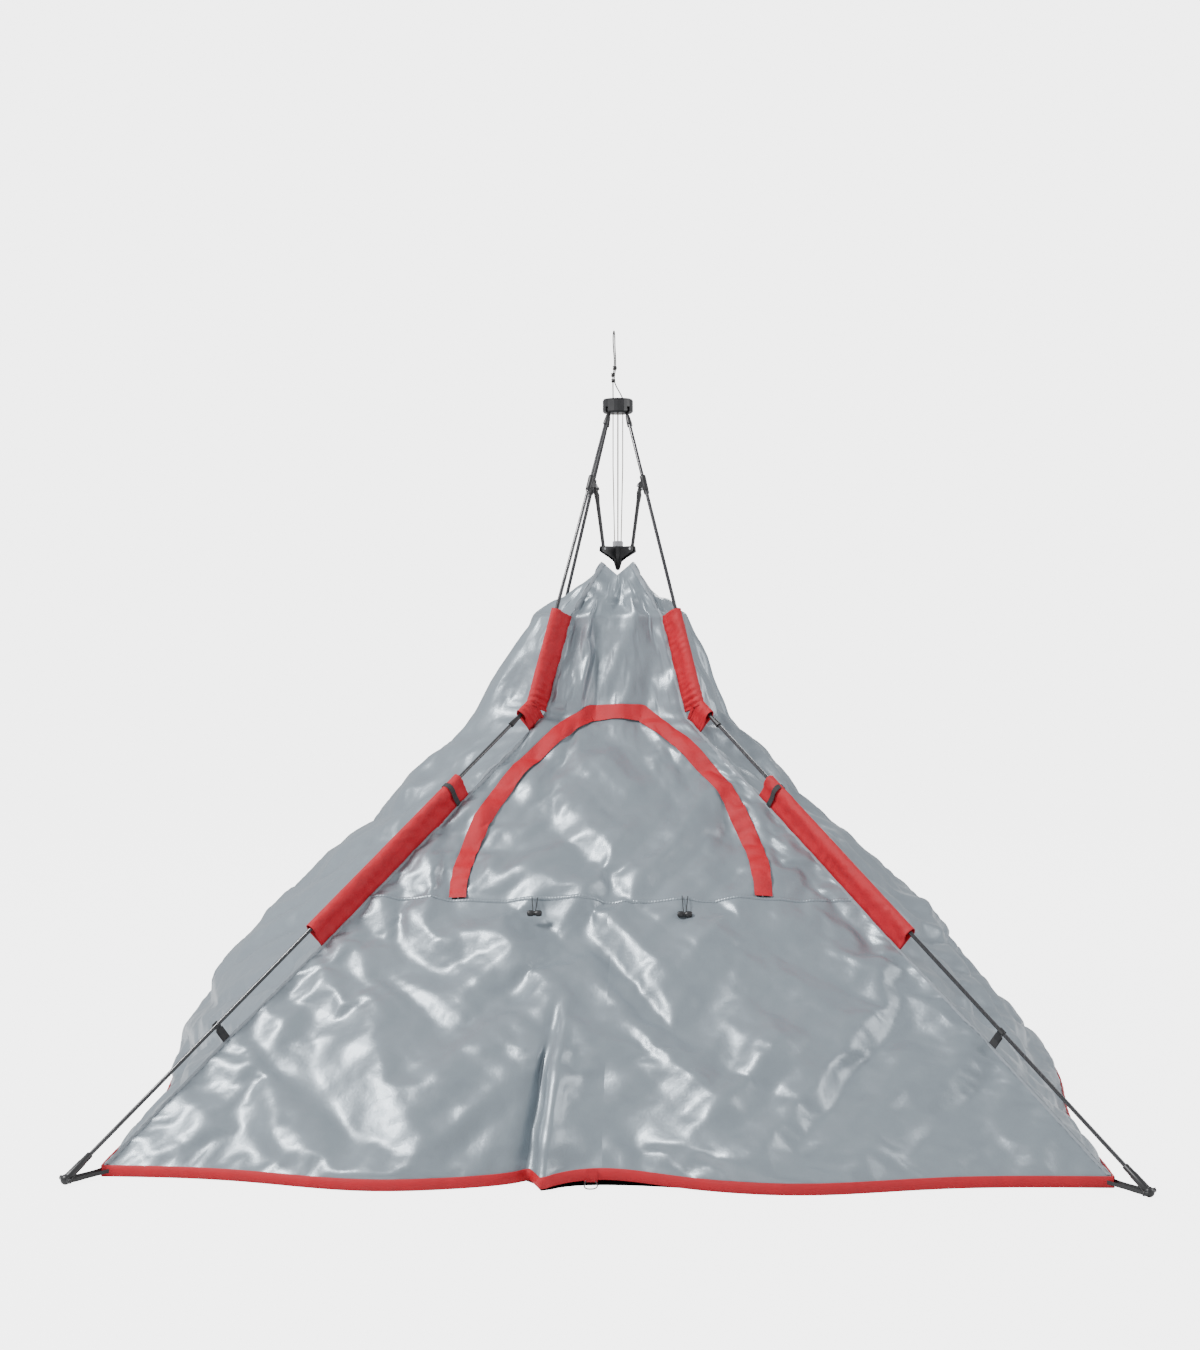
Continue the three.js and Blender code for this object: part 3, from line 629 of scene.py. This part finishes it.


# %% [markdown]
# ## Walls as half panels
# A piece can bend between two bodies only, so each wall is cut down its middle. The front wall leaves out the cells
# inside the arch.

# %% Walls, two halves each
wall_pieces = {}
for side, grid in walls.items():
    rows, columns = grid.shape[:2]
    middle = columns // 2
    v, u = np.meshgrid(np.linspace(0, 1, rows), np.linspace(-1, 1, columns), indexing="ij")
    for half, corner in zip(("left", "right"), LEFT_RIGHT[side]):
        part = slice(0, middle + 1) if half == "left" else slice(middle, columns)
        uu, vv = u[:, part], v[:, part]
        keep = None
        if side == "front":
            centre_u, centre_v = uu[:-1, :-1] + 1 / columns, vv[:-1, :-1] + 0.5 / rows
            keep = ~inside_arch(centre_u, centre_v)
        name = f"{side}_wall_{half}"
        obj = mesh_from(name, spin(grid[:, part], SIDES[side]), grid_faces(*uu.shape, keep=keep), silver)
        follow_leg(obj, corner, leg_share(side, uu, vv))
        if half == "left":
            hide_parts(f"canopy_{side}")
        wall_pieces[name] = obj
print(len(wall_pieces), "half walls,", sum(len(o.data.polygons) for o in wall_pieces.values()), "faces")

# %% [markdown]
# ## Fabric trim
# Bands are laid on the hung cloth, a millimetre or two proud of it.


# %% Ridge tapes, seam and hem
def wall_strip(name, side, corner, u, v, lift, material):
    """A band on one wall between rows of (u, v)."""
    points = on_wall(side, u, v, lift)
    obj = mesh_from(name, points, grid_faces(*points.shape[:2]), material)
    follow_leg(obj, corner, leg_share(side, u, v))
    return obj


trim = {side: [] for side in SIDES}
for side in SIDES:
    for sign, half, corner in zip((-1, 1), ("left", "right"), LEFT_RIGHT[side]):
        v = np.linspace(0.0, 0.995, 420)[:, None]
        reach = ridge_at(v)[0]
        width = np.linspace(0.0006, 0.0095, 5)[None, :]
        u = sign * (1 - width / reach)
        crown = 0.0018 - 0.0012 * (np.linspace(-1, 1, 5) ** 4)[None, :]
        gather = 0.0007 * np.sin(v * 620) * (width > 0.004)
        name = f"ridge_tape_{side}_{half}"
        tape = wall_strip(name, side, corner, u, v + 0 * width, crown + gather, tape_pale)
        trim[side].append(tape)

        u = sign * np.linspace(0, 1, 160)
        line = on_wall(side, u, np.ones(160))
        out = spin([0, -1, 0], SIDES[side])
        section = np.array([(0.0006, 0.005), (0.0026, 0.004), (0.0030, -0.008), (0.0024, -0.0186),
                            (0.0006, -0.0196), (-0.0012, -0.0186), (-0.0016, -0.008), (-0.0014, 0.004)])
        pucker = 1 + 0.10 * np.sin(u * 150)[:, None] + 0.06 * np.sin(u * 61)[:, None]
        points = (line[:, None] + section[None, :, :1] * pucker[..., None] * out
                  + section[None, :, 1:] * np.array([0, 0, 1.0]))
        hem = mesh_from(f"hem_{side}_{half}", points, grid_faces(160, len(section), close=True), red)
        share = leg_share(side, np.repeat(abs(u)[:, None], len(section), 1), np.ones((160, len(section))))
        follow_leg(hem, corner, share)
        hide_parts("hem_binding")
        trim[side].append(hem)

for sign, half, corner in ((-1, "left", "front_left"), (1, "right", "front_right")):
    a = sign * np.linspace(0, 0.600, 260)[:, None]
    l = np.linspace(-0.008, 0.001, 6)[None, :]
    u, v = cloth_to_uv(a + 0 * l, l + 0 * a)
    fold = 0.0022 * np.sin(np.linspace(0, math.pi, 6))[None, :] + 0.0006 + 0.0005 * np.sin(a * 900)
    u = np.clip(u, -0.99, 0.99)
    seam = wall_strip(f"front_seam_{half}", "front", corner, u, v, fold, silver)
    trim["front"].append(seam)
print("trim pieces", sum(map(len, trim.values())))

# %% [markdown]
# ## Groundsheet
# The floor is coated cloth, sewn to the hem. It could be one sheet, but it is made as four quarters, one at each
# corner.

# %% Groundsheet, four quarters
# x = H p + s(p) p^2 off(q), y = H q + s(q) q^2 off(p), where off is how far the hem stands out.
HALF = HEM_CORNER[0] / math.sqrt(2) - 0.010


def hem_off(side, u):
    row = walls[side][-1]
    return np.interp(u, np.linspace(-1, 1, len(row)), -row[:, 1] - HEM_CORNER[0] / math.sqrt(2))


for corner in CORNERS:
    px, qy = (1 if "right" in corner else -1), (-1 if "front" in corner else 1)
    p, q = np.meshgrid(px * np.linspace(0, 1, 60), qy * np.linspace(0, 1, 60))
    side_off = hem_off("right", q) if px > 0 else hem_off("left", -q)
    end_off = hem_off("front", p) if qy < 0 else hem_off("back", -p)
    ripple = 0.0009 + 0.0007 * np.sin(9 * p + 4 * q) * np.sin(7 * q - 3 * p)
    points = np.stack([HALF * p + px * p**2 * side_off, HALF * q + qy * q**2 * end_off, ripple], axis=-1)
    # Near-black quarter. Its edge below the hem is the sheet itself and also a painted shadow under the hem fold.
    quarter = mesh_from(f"groundsheet_{corner}", points, grid_faces(60, 60), groundsheet_black_and_hem_shadow)
    follow_leg(quarter, corner, smooth_step(abs(p)) * smooth_step(abs(q)))
    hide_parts("groundsheet")

# %% [markdown]
# ## Arched window
# The window is a panel behind a zip, and a loose red flap covers the zip. All of them are laid along the
# arch line on the hung cloth, so that they share its creases. The flap ruffles near its feet.

# %% Arched window, zip and red flap
ROWS, COLUMNS = 90, 80
window_l = np.linspace(0.0005, ARCH_TOP - 0.0005, ROWS)[:, None]
a = np.linspace(-1, 1, COLUMNS)[None, :] * (arch_half(window_l) - 0.0005)
window_points = on_wall("front", *cloth_to_uv(a, window_l + 0 * a))
window = mesh_from("window_cloth", window_points, grid_faces(ROWS, COLUMNS), silver)
rides(window, "window", "coated_polyester", "window_panel")

spots, out, arch_length = arch_line(520)


def arch_band(name, inner, outer, lift, material, columns=9, waves=None):
    """A band between two offsets of the arch line; lift is a function of (share along, share across)."""
    across = np.linspace(inner, outer, columns)
    place = spots[:, None] + out[:, None] * across[None, :, None]
    height = lift(np.linspace(0, 1, len(spots))[:, None], np.linspace(-1, 1, columns)[None, :])
    u, v = cloth_to_uv(place[..., 0], np.maximum(place[..., 1], -0.002))
    return mesh_from(name, on_wall("front", u, v, height), grid_faces(len(spots), columns), material)


def ruffled(s, w):
    low = np.clip(1 - s / 0.34, 0, 1) * 0.7 + np.clip((s - 0.62) / 0.38, 0, 1)
    ruffle = np.sin(s * 210 + 2.2 * np.sin(s * 23)) * low * 0.0030
    soft = 0.0016 * np.sin(s * 47 + 1.3)
    return 0.0046 + (ruffle + soft) * (0.35 + 0.65 * w**2) + 0.0024 * (1 - w**2)


flap = arch_band("zip_flap_cloth", -FLAP_WIDTH / 2, FLAP_WIDTH / 2, ruffled, red, 13)
rides(flap, "window", "red_binding", "zip_flap")
zip_fixed = arch_band("zip_tape_fixed", -0.004, 0.013, lambda s, w: 0.0012 + 0 * s + 0 * w, strap_black)
rides(zip_fixed, "canopy", "black_plastic")
zip_moving = arch_band("zip_tape_window", -0.016, -0.001, lambda s, w: 0.0010 + 0 * s + 0 * w, strap_black)
rides(zip_moving, "window", "black_plastic")


def teeth_lift(s, w):
    return 0.0024 - 0.0008 * w**2 + 0.0004 * np.sin(s * 2600)


teeth = arch_band("zip_teeth", -0.003, 0.001, teeth_lift, grey)
rides(teeth, "window", "grey_plastic")
print("arch", round(arch_length, 3), "m round")

# %% [markdown]
# ## Toggles
# A barrel toggle is turned, with a waist for its loop. The loop runs from the seam, round the waist and back.

# %% Toggles and their loops
TOGGLE_AT = 0.172
for name, x in (("left", -TOGGLE_AT), ("right", TOGGLE_AT)):
    low, high = (Vector(c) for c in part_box(f"toggle_{name}"))
    centre = np.array((low + high) / 2)
    half = (high - low)[0] / 2
    rim = [(0, 0.0035), (0.03, 0.0058), (0.12, 0.0070), (0.30, 0.0072), (0.40, 0.0064), (0.46, 0.0050),
           (0.54, 0.0050), (0.60, 0.0064), (0.70, 0.0072), (0.88, 0.0070), (0.97, 0.0058), (1, 0.0035)]
    barrel = turned(f"toggle_{name}_barrel", centre - [half, 0, 0], centre + [half, 0, 0], rim, black)
    rides(barrel, f"toggle_{name}", "black_plastic", f"toggle_{name}")
    seam = on_wall("front", *cloth_to_uv(np.array([x - 0.006, x + 0.006]), np.array([-0.003, -0.003])), 0.007)
    under = centre + [0, 0.002, -0.0060]
    route = [seam[0], seam[0] + [0.001, -0.006, -0.008], centre + [-0.003, -0.0062, 0.004],
             centre + [0, -0.0068, -0.001], under, centre + [0, 0.0055, -0.002], centre + [0.003, -0.0055, 0.0060],
             seam[1] + [-0.001, -0.006, -0.008], seam[1]]
    loop = spline(f"toggle_loop_{name}", route, 0.0011)
    rides(loop, f"toggle_{name}", "cord")
    loop.data.materials.append(strap_black)

# %% [markdown]
# ## Hem tab
# A folded red tab holds a short elastic loop, which takes a peg. It lies slack on the ground.

# %% Hem tab with its elastic loop
tab_at = on_wall("front", np.array([-0.022]), np.array([1.0]))[0]
tab_u = np.linspace(-0.014, 0.014, 8)[None, :]
tab_v = np.linspace(0.003, -0.024, 8)[:, None]
tab_points = np.stack([tab_at[0] + tab_u + 0 * tab_v, tab_at[1] - 0.0042 + 0.004 * (tab_v / 0.024) ** 2 + 0 * tab_u,
                       tab_at[2] + tab_v + 0 * tab_u], axis=-1)
tab = mesh_from("hem_tab", tab_points, grid_faces(8, 8), red)
rides(tab, "canopy", "red_binding")
tab_edge = tab_at + [0, -0.004, -0.022]
tab_route = [tab_edge + [0.010, 0, 0.001], tab_edge + [0.016, -0.006, -0.004], tab_edge + [0.012, -0.016, -0.009],
             tab_edge + [0.0, -0.020, -0.0095], tab_edge + [-0.010, -0.016, -0.0095],
             tab_edge + [-0.014, -0.006, -0.006], tab_edge + [-0.010, 0, 0.001]]
tab_route = [np.array([p[0], p[1], max(p[2], 0.0022)]) for p in tab_route]
hem_loop = spline("hem_elastic_loop", tab_route, 0.0013)
hem_loop.data.materials.append(strap_black)
rides(hem_loop, "canopy", "cord")


# %% [markdown]
# ## Red sleeves
# A sleeve wraps the pole and closes to a flat web that is sewn to the ridge. It puckers at its sewn
# ends and bunches at the knee.

# %% Sleeves
HALF_SECTION = np.array([(0.0535, 0.0010), (0.040, 0.0018), (0.027, 0.0032), (0.016, 0.0066), (0.008, 0.0098),
                         (0.0, 0.0098), (-0.007, 0.0082), (-0.0118, 0.0042), (-0.0132, 0.0)])
SECTION = np.concatenate([HALF_SECTION, HALF_SECTION[-2::-1] * [1, -1]])


def round_pole(corner, centres, inward, inward_by, sideways):
    """(r, z) = centre + inward_by * inward, then sideways from the leg's plane, turned to the corner."""
    a = math.radians(CORNERS[corner])
    flat = centres[:, None] + inward_by[..., None] * inward
    x = flat[..., 0] * math.cos(a) - sideways * math.sin(a)
    y = flat[..., 0] * math.sin(a) + sideways * math.cos(a)
    return np.stack([x, y, flat[..., 1]], axis=-1)


def sleeve(name, corner, on, inward, span, body, seed, bunch=None, narrow=1.0):
    """Rows along the pole; each row is the section, pinched at the hemmed ends and shaken by soft folds."""
    count = max(24, int((span[1] - span[0]) / 0.0035))
    s = np.linspace(0, 1, count)
    d, t = SECTION[:, 0][None, :] * narrow, SECTION[:, 1][None, :]
    fold = soft_noise(count, len(SECTION), 9, seed) * 0.0026
    fold = fold + soft_noise(count, len(SECTION), 17, seed + 1) * 0.0016
    pleat = s[:, None] * 14 + d * 60 + 1.5 * soft_noise(count, len(SECTION), 5, seed + 2)
    fold = fold + 0.0016 * (4 * abs(pleat % 1 - 0.5) - 1)
    slack = (np.abs(d) < 0.045) * 1.0
    if bunch is not None:
        near = np.exp(-(((s - bunch) / 0.14) ** 2))[:, None]
        fold = fold + near * 0.0042 * np.sin(s * 95)[:, None] * slack
    ends = np.exp(-(s / 0.02) ** 2) + np.exp(-((1 - s) / 0.02) ** 2)
    t = t * (1 + 0.18 * ends[:, None]) + np.sign(t) * fold * slack * 0.8
    d = d + fold * 0.5 * slack
    length = span[0] + s * (span[1] - span[0])
    centre = np.array([on(x) for x in length])
    points = round_pole(corner, centre, inward, d, t)
    obj = mesh_from(name, points, grid_faces(count, len(SECTION)), red)
    thick = obj.modifiers.new("cloth thickness", "SOLIDIFY")
    thick.thickness = 0.0008
    rides(obj, body, "red_binding")
    return obj


for k, corner in enumerate(CORNERS):
    upper_span = (SLEEVE_UPPER[0], UPPER_LENGTH + 0.004)
    lower_span = (-0.012, SLEEVE_UPPER[1] - UPPER_LENGTH)
    top = sleeve(f"red_sleeve_top_{corner}", corner, on_upper, UPPER_INWARD, upper_span, f"upper_leg_{corner}",
                 100 + k, bunch=0.94)
    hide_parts(f"upper_sleeve_{corner}")
    sleeve(f"red_sleeve_knee_{corner}", corner, on_lower, LOWER_INWARD, lower_span, f"lower_leg_{corner}",
           120 + k, bunch=0.1, narrow=1.02)
    low = sleeve(f"red_sleeve_low_{corner}", corner, on_lower, LOWER_INWARD, SLEEVE_LOWER, f"lower_leg_{corner}",
                 140 + k)
    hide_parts(f"lower_sleeve_{corner}")


# %% [markdown]
# ## Straps and webbing
# A black band is wrapped round the top of each lower sleeve. Flat webbing holds the pole clip to the ridge,
# and the hem corner to the foot. Each is a narrow strip carried along a line.

# %% Straps and corner webbing
STRAP_AT, STRAP_WIDTH, STRAP_SLACK = SLEEVE_LOWER[0] + 0.040, 0.013, 0.0048


def ribbon(name, line, side, width, material, body, thickness=0.0012):
    """A flat strap along a line of points, width measured along the vector side."""
    line = refine(np.asarray(line, float)[:, None].repeat(2, 1), 8)[:, 0]
    across = np.linspace(-0.5, 0.5, 6)[None, :, None] * width
    points = line[:, None] + across * np.asarray(side, float)
    obj = mesh_from(name, points, grid_faces(len(line), 6), material)
    thick = obj.modifiers.new("webbing thickness", "SOLIDIFY")
    thick.thickness = thickness
    return rides(obj, body, "black_plastic")


for corner in CORNERS:
    body = f"lower_leg_{corner}"
    way = at_corner(corner, LOWER_WAY)
    lengths = STRAP_AT + STRAP_WIDTH * np.linspace(-0.5, 0.5, 5)
    centres = KNEE + lengths[:, None] * LOWER_WAY
    aside = SECTION[:, 1] + np.sign(SECTION[:, 1]) * STRAP_SLACK
    band = round_pole(corner, centres, LOWER_INWARD, SECTION[None, :, 0] * 0.97 - 0.0010, aside)
    strap = mesh_from(f"sleeve_strap_{corner}", band, grid_faces(5, len(SECTION), close=True), strap_black)
    rides(strap, body, "black_plastic")
    clip = on_lower(CLIP_AT + 0.007)
    line = [at_corner(corner, clip + x * LOWER_INWARD, 0.0) for x in (0.010, 0.020, 0.030, 0.042, 0.052)]
    ribbon(f"clip_webbing_{corner}", line, way, 0.020, strap_black, body)
    for sign in (-1, 1):
        line = [at_corner(corner, p, sign * t) for p, t in (
            (HEM_CORNER + [-0.030, -0.004], 0.020), (HEM_CORNER + [0.0, -0.008], 0.010),
            (HEM_CORNER + [0.040, -0.010], 0.009), (FOOT + [-0.010, -0.001], 0.013), (FOOT + [0.004, 0.003], 0.016))]
        name = f"corner_webbing_{'left' if sign < 0 else 'right'}_{corner}"
        ribbon(name, line, at_corner(corner, (0.2, 1.0)), 0.008, strap_black, body)

# %% [markdown]
# ## Frame
# Poles, knuckles, brackets and struts are turned smooth; the hubs are CAD pieces with bevelled edges. The forks keep
# the CAD shape.

# %% Poles and fittings
def fitting(name, start, end, profile, material, body, slot, *stands_for):
    """A turned piece between two points (r, z) of the leg's plane; the body's name ends in the corner's."""
    corner = next(c for c in CORNERS if body.endswith(c))
    made = turned(f"{name}_{corner}", at_corner(corner, start), at_corner(corner, end), profile, material)
    return rides(made, body, slot, *stands_for)


def lying(name, corner, point, half, profile, body):
    """A black turned piece across the leg's plane, half its length to each side of the point (r, z)."""
    made = turned(name, at_corner(corner, point, -half), at_corner(corner, point, half), profile, black)
    return rides(made, body, "black_plastic")


for corner in CORNERS:
    upper, lower, strut_body = f"upper_leg_{corner}", f"lower_leg_{corner}", f"strut_{corner}"
    rod = [(0, POLE_RADIUS - 0.0004), (0.002, POLE_RADIUS), (0.998, POLE_RADIUS), (1, POLE_RADIUS - 0.0004)]
    fitting("upper_rod", on_upper(0.030), on_upper(UPPER_LENGTH - 0.046), rod, rod_black, upper, "glass_fibre",
        f"upper_pole_{corner}")
    ferrule = [(0, 0.0040), (0.001, POLE_RADIUS), (0.335, POLE_RADIUS), (0.337, 0.0062), (0.388, 0.0062),
               (0.390, POLE_RADIUS), (0.999, POLE_RADIUS), (1, 0.0040)]
    fitting("lower_rod", on_lower(KNEE_TONGUE + 0.010), on_lower(LOWER_LENGTH - 0.016), ferrule, rod_black,
            lower, "glass_fibre", f"lower_pole_{corner}")
    socket = [(0, 0.0036), (0.28, 0.0038), (0.34, 0.0052), (0.75, 0.0068), (0.93, 0.0072), (0.98, 0.0070),
              (1, 0.0060)]
    fitting("knuckle_socket", on_upper(0.004), on_upper(0.042), socket, black, upper, "black_plastic",
        f"hub_knuckle_{corner}")
    lying(f"knuckle_eye_{corner}", corner, HUB_PIN, 0.0041,
          [(0, 0.0048), (0.08, 0.0055), (0.92, 0.0055), (1, 0.0048)], upper)
    collar = [(0, 0.0066), (0.05, 0.0078), (0.14, 0.0082), (0.30, 0.0078), (0.70, 0.0074), (0.92, 0.0074),
              (1, 0.0060)]
    fitting("bracket_sleeve", on_upper(BRACKET_AT - 0.020), on_upper(BRACKET_AT + 0.020), collar, black, upper,
        "black_plastic")
    way = (RUNNER_EYE - LUG) / STRUT_LENGTH
    arm = [(0, 0.0040), (0.06, 0.0034), (0.085, 0.0050), (0.11, 0.0056), (0.22, 0.0040), (0.30, 0.0036),
           (0.93, 0.0034), (0.96, 0.0042), (1, 0.0040)]
    fitting("strut_rod", LUG, LUG + STRUT_LENGTH * way, arm, black, strut_body, "black_plastic", f"strut_{corner}")
    for where, point in (("lug", LUG), ("runner", RUNNER_EYE)):
        lying(f"strut_eye_{where}_{corner}", corner, point, 0.0032,
              [(0, 0.0044), (0.1, 0.0052), (0.9, 0.0052), (1, 0.0044)], strut_body)
    for where, point, owner in (("lug", LUG, upper), ("runner", RUNNER_EYE, "runner")):
        for sign in (-1, 1):
            ends = [at_corner(corner, point, sign * out_by) for out_by in (0.0060, 0.0082)]
            dome = [(0, 0.0034), (0.5, 0.0034), (0.85, 0.0024), (1, 0.0010)]
            head = turned(f"rivet_{where}_{'a' if sign < 0 else 'b'}_{corner}", *ends, dome, grey)
            rides(head, owner, "grey_plastic")
    cap = [(0, 0.0062), (0.02, 0.0070), (0.30, 0.0072), (0.33, 0.0080), (0.90, 0.0086), (1, 0.0080)]
    fitting("foot_cap", on_lower(LOWER_LENGTH - 0.070), on_lower(LOWER_LENGTH), cap, black, lower, "black_plastic",
        f"foot_{corner}")
    turn = np.linspace(0, math.pi, 16)
    ball = [((1 - math.cos(x)) / 2, max(1e-4, FOOT_RADIUS * math.sin(x))) for x in turn]
    fitting("foot_ball", FOOT + [0, FOOT_RADIUS], FOOT - [0, FOOT_RADIUS], ball, black, lower, "black_plastic")
    lying(f"foot_crossbar_{corner}", corner, FOOT, 0.022,
          [(0, 0.0036), (0.05, 0.0050), (0.95, 0.0050), (1, 0.0036)], lower)

for node in ("top_hub", "top_hub_cap", "lower_hub", "lower_hub_collar", *(f"bracket_{c}" for c in CORNERS),
             *(f"knee_upper_{c}" for c in CORNERS), *(f"knee_lower_{c}" for c in CORNERS),
             *(f"pole_clip_{c}" for c in CORNERS)):
    obj = nodes[node]
    obj.data.materials.clear()
    obj.data.materials.append(grey if node == "lower_hub_collar" else black)
    bevelled(obj)

# %% [markdown]
# ## Cords
# Four draw strands run from the runner up through the top hub, where they come out as the pull cord.
# They shorten as the runner rises. The pull cord rises twice as far, so it has a feed inside two of the strands.

# %% Cords
DRAW_RING, GATHER, DRAW_FOOT = 0.0125, 0.0085, RUNNER_EYE[1] + 0.020
DRAW_TOP = HUB_BOTTOM + 0.004
RUNNER_RISE = 0.0795
DRAW_STRAIGHT = HUB_TOP - 2.2 * RUNNER_RISE


def strand_line(turn, low, high, count):
    """One draw strand between two heights: it spreads from GATHER to DRAW_RING, then runs straight up."""
    height = np.linspace(low, high, count)
    share = (height - DRAW_FOOT) / (DRAW_STRAIGHT - DRAW_FOOT)
    radius = GATHER + (DRAW_RING - GATHER) * np.clip(share, 0, 1)
    return np.stack([radius * math.cos(turn), radius * math.sin(turn), height], axis=-1)


def tube(name, line, radius, material, sides=10):
    """A round cord along a line that is close to upright, with closed ends."""
    turn = np.linspace(0, 2 * math.pi, sides, endpoint=False)
    ring = np.stack([np.cos(turn), np.sin(turn), 0 * turn], axis=-1)
    sizes = np.array([1e-5, *[radius] * len(line), 1e-5])
    line = np.concatenate([line[:1], line, line[-1:]])
    points = line[:, None] + sizes[:, None, None] * ring
    return mesh_from(name, points, grid_faces(len(line), sides, close=True), material)


for k in range(4):
    turn = k * math.pi / 2
    strand = tube(f"draw_strand_{k + 1}", strand_line(turn, DRAW_FOOT, DRAW_TOP, 60), 0.0014, cord_brown)
    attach(strand, "canopy")
    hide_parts("draw_cords")
    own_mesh(strand)
for k in (0, 2):
    route = strand_line(k * math.pi / 2, HUB_TOP - 2.1 * RUNNER_RISE, HUB_TOP + 0.003, 40)
    feed = tube(f"pull_feed_{k // 2 + 1}", route, 0.0012, cord_brown)
    rides(feed, "pull_cord", "cord")
pull_cord.data.materials.append(cord_black)
KNOTS = [(-0.0120, 1.788, 0.0056), (-0.0125, 1.803, 0.0060), (-0.0080, 1.821, 0.0062)]
for number, (x, z, radius) in enumerate(KNOTS):
    turn = np.linspace(0, 4 * math.pi, 60)
    wrap = np.stack([x + radius * 0.62 * np.cos(turn), 0.0 + radius * 0.62 * np.sin(turn),
                     z + radius * 0.55 * np.sin(turn * 0.5 + 0.6)], axis=-1)
    knot = spline(f"pull_knot_{number + 1}", wrap, 0.0021, resolution=3)
    knot.data.materials.append(cord_black)
    rides(knot, "pull_cord", "cord")

# %% [markdown]
# ## How big the cloth was cut
# The width each half wall was cut to at the hem is worked out from the smooth pattern.


# The cut size comes from the smooth wall, before any crease or simulation, let out by GROWTH each way.
LET_OUT = 1 + GROWTH
v, u = np.meshgrid(np.linspace(0, 1, DOWN * FINE + 1), np.linspace(-1, 1, ACROSS * FINE + 1), indexing="ij")
for name, obj in wall_pieces.items():
    side, half = name.split("_wall_")
    smooth = wall_shape(side, u, v)
    centre_u, centre_v = u[:-1, :-1] + 1 / ACROSS / FINE, v[:-1, :-1] + 0.5 / DOWN / FINE
    wanted = (centre_u < 0) if half == "left" else (centre_u > 0)
    if side == "front":
        wanted = wanted & ~inside_arch(centre_u, centre_v)
    width = float(np.linalg.norm(np.diff(smooth[-1], axis=0), axis=1).sum()) / 2 * LET_OUT

# %% [markdown]
# ## Stage
# A pale floor that fades into the background, with soft light from the upper left and front.

# %% Floor and lights
PAPER_GLOW, PAPER_SHARE, SOFT_LIGHT = 6.0, 0.75, 0.68
FLOOR_RADIUS = 400.0


def glow_for_camera(tree, seen, unseen, share):
    """Mixes seen over unseen by share, but only for rays that come from the camera."""
    path = tree.nodes.new("ShaderNodeLightPath")
    part = tree.nodes.new("ShaderNodeMath")
    part.operation, part.inputs[1].default_value = "MULTIPLY", share
    mix = tree.nodes.new("ShaderNodeMixShader")
    tree.links.new(path.outputs["Is Camera Ray"], part.inputs[0])
    tree.links.new(part.outputs[0], mix.inputs[0])
    tree.links.new(unseen, mix.inputs[1])
    tree.links.new(seen, mix.inputs[2])
    ends = [n for n in tree.nodes if n.type in ("OUTPUT_MATERIAL", "OUTPUT_WORLD")]
    tree.links.new(mix.outputs[0], ends[0].inputs["Surface"])


paper = moulded("studio_paper", (0.80, 0.80, 0.80), 0.85)
paper.cycles.emission_sampling = "NONE"
glow = paper.node_tree.nodes.new("ShaderNodeEmission")
glow.inputs["Strength"].default_value = PAPER_GLOW
matt = paper.node_tree.nodes["Principled BSDF"]
glow_for_camera(paper.node_tree, glow.outputs[0], matt.outputs[0], PAPER_SHARE)
turn = np.linspace(0, 2 * math.pi, 96, endpoint=False)
rings = np.array([0.01, FLOOR_RADIUS])[:, None]
disc = np.stack([rings * np.cos(turn), rings * np.sin(turn), np.full((2, 96), -0.0006)], axis=-1)
floor = mesh_from("floor", disc, grid_faces(2, 96, close=True), paper, smooth=False)
world = bpy.data.worlds.new("studio")
bpy.context.scene.world = world
world.use_nodes = True
soft = world.node_tree.nodes["Background"]
soft.inputs["Color"].default_value, soft.inputs["Strength"].default_value = (0.95, 0.97, 1.0, 1), SOFT_LIGHT
backdrop = world.node_tree.nodes.new("ShaderNodeBackground")
backdrop.inputs["Color"].default_value = (1, 1, 1, 1)
backdrop.inputs["Strength"].default_value = PAPER_GLOW * PAPER_SHARE + (1 - PAPER_SHARE) * 0.8 * SOFT_LIGHT
glow_for_camera(world.node_tree, backdrop.outputs[0], soft.outputs[0], 1.0)


def lamp(name, place, target, size, power):
    light = bpy.data.lights.new(name, "AREA")
    light.energy, light.size = power, size
    obj = bpy.data.objects.new(name, light)
    bpy.context.scene.collection.objects.link(obj)
    obj.location = place
    obj.rotation_euler = (Vector(target) - Vector(place)).to_track_quat("-Z", "Y").to_euler()


lamp("key_light", (-3.4, -2.4, 4.4), (0, 0, 0.6), 1.3, 400)
lamp("side_light", (4.2, -1.0, 2.2), (0, 0, 0.7), 2.0, 90)
lamp("back_light", (0.5, 4.5, 3.6), (0, 0, 0.8), 2.5, 160)
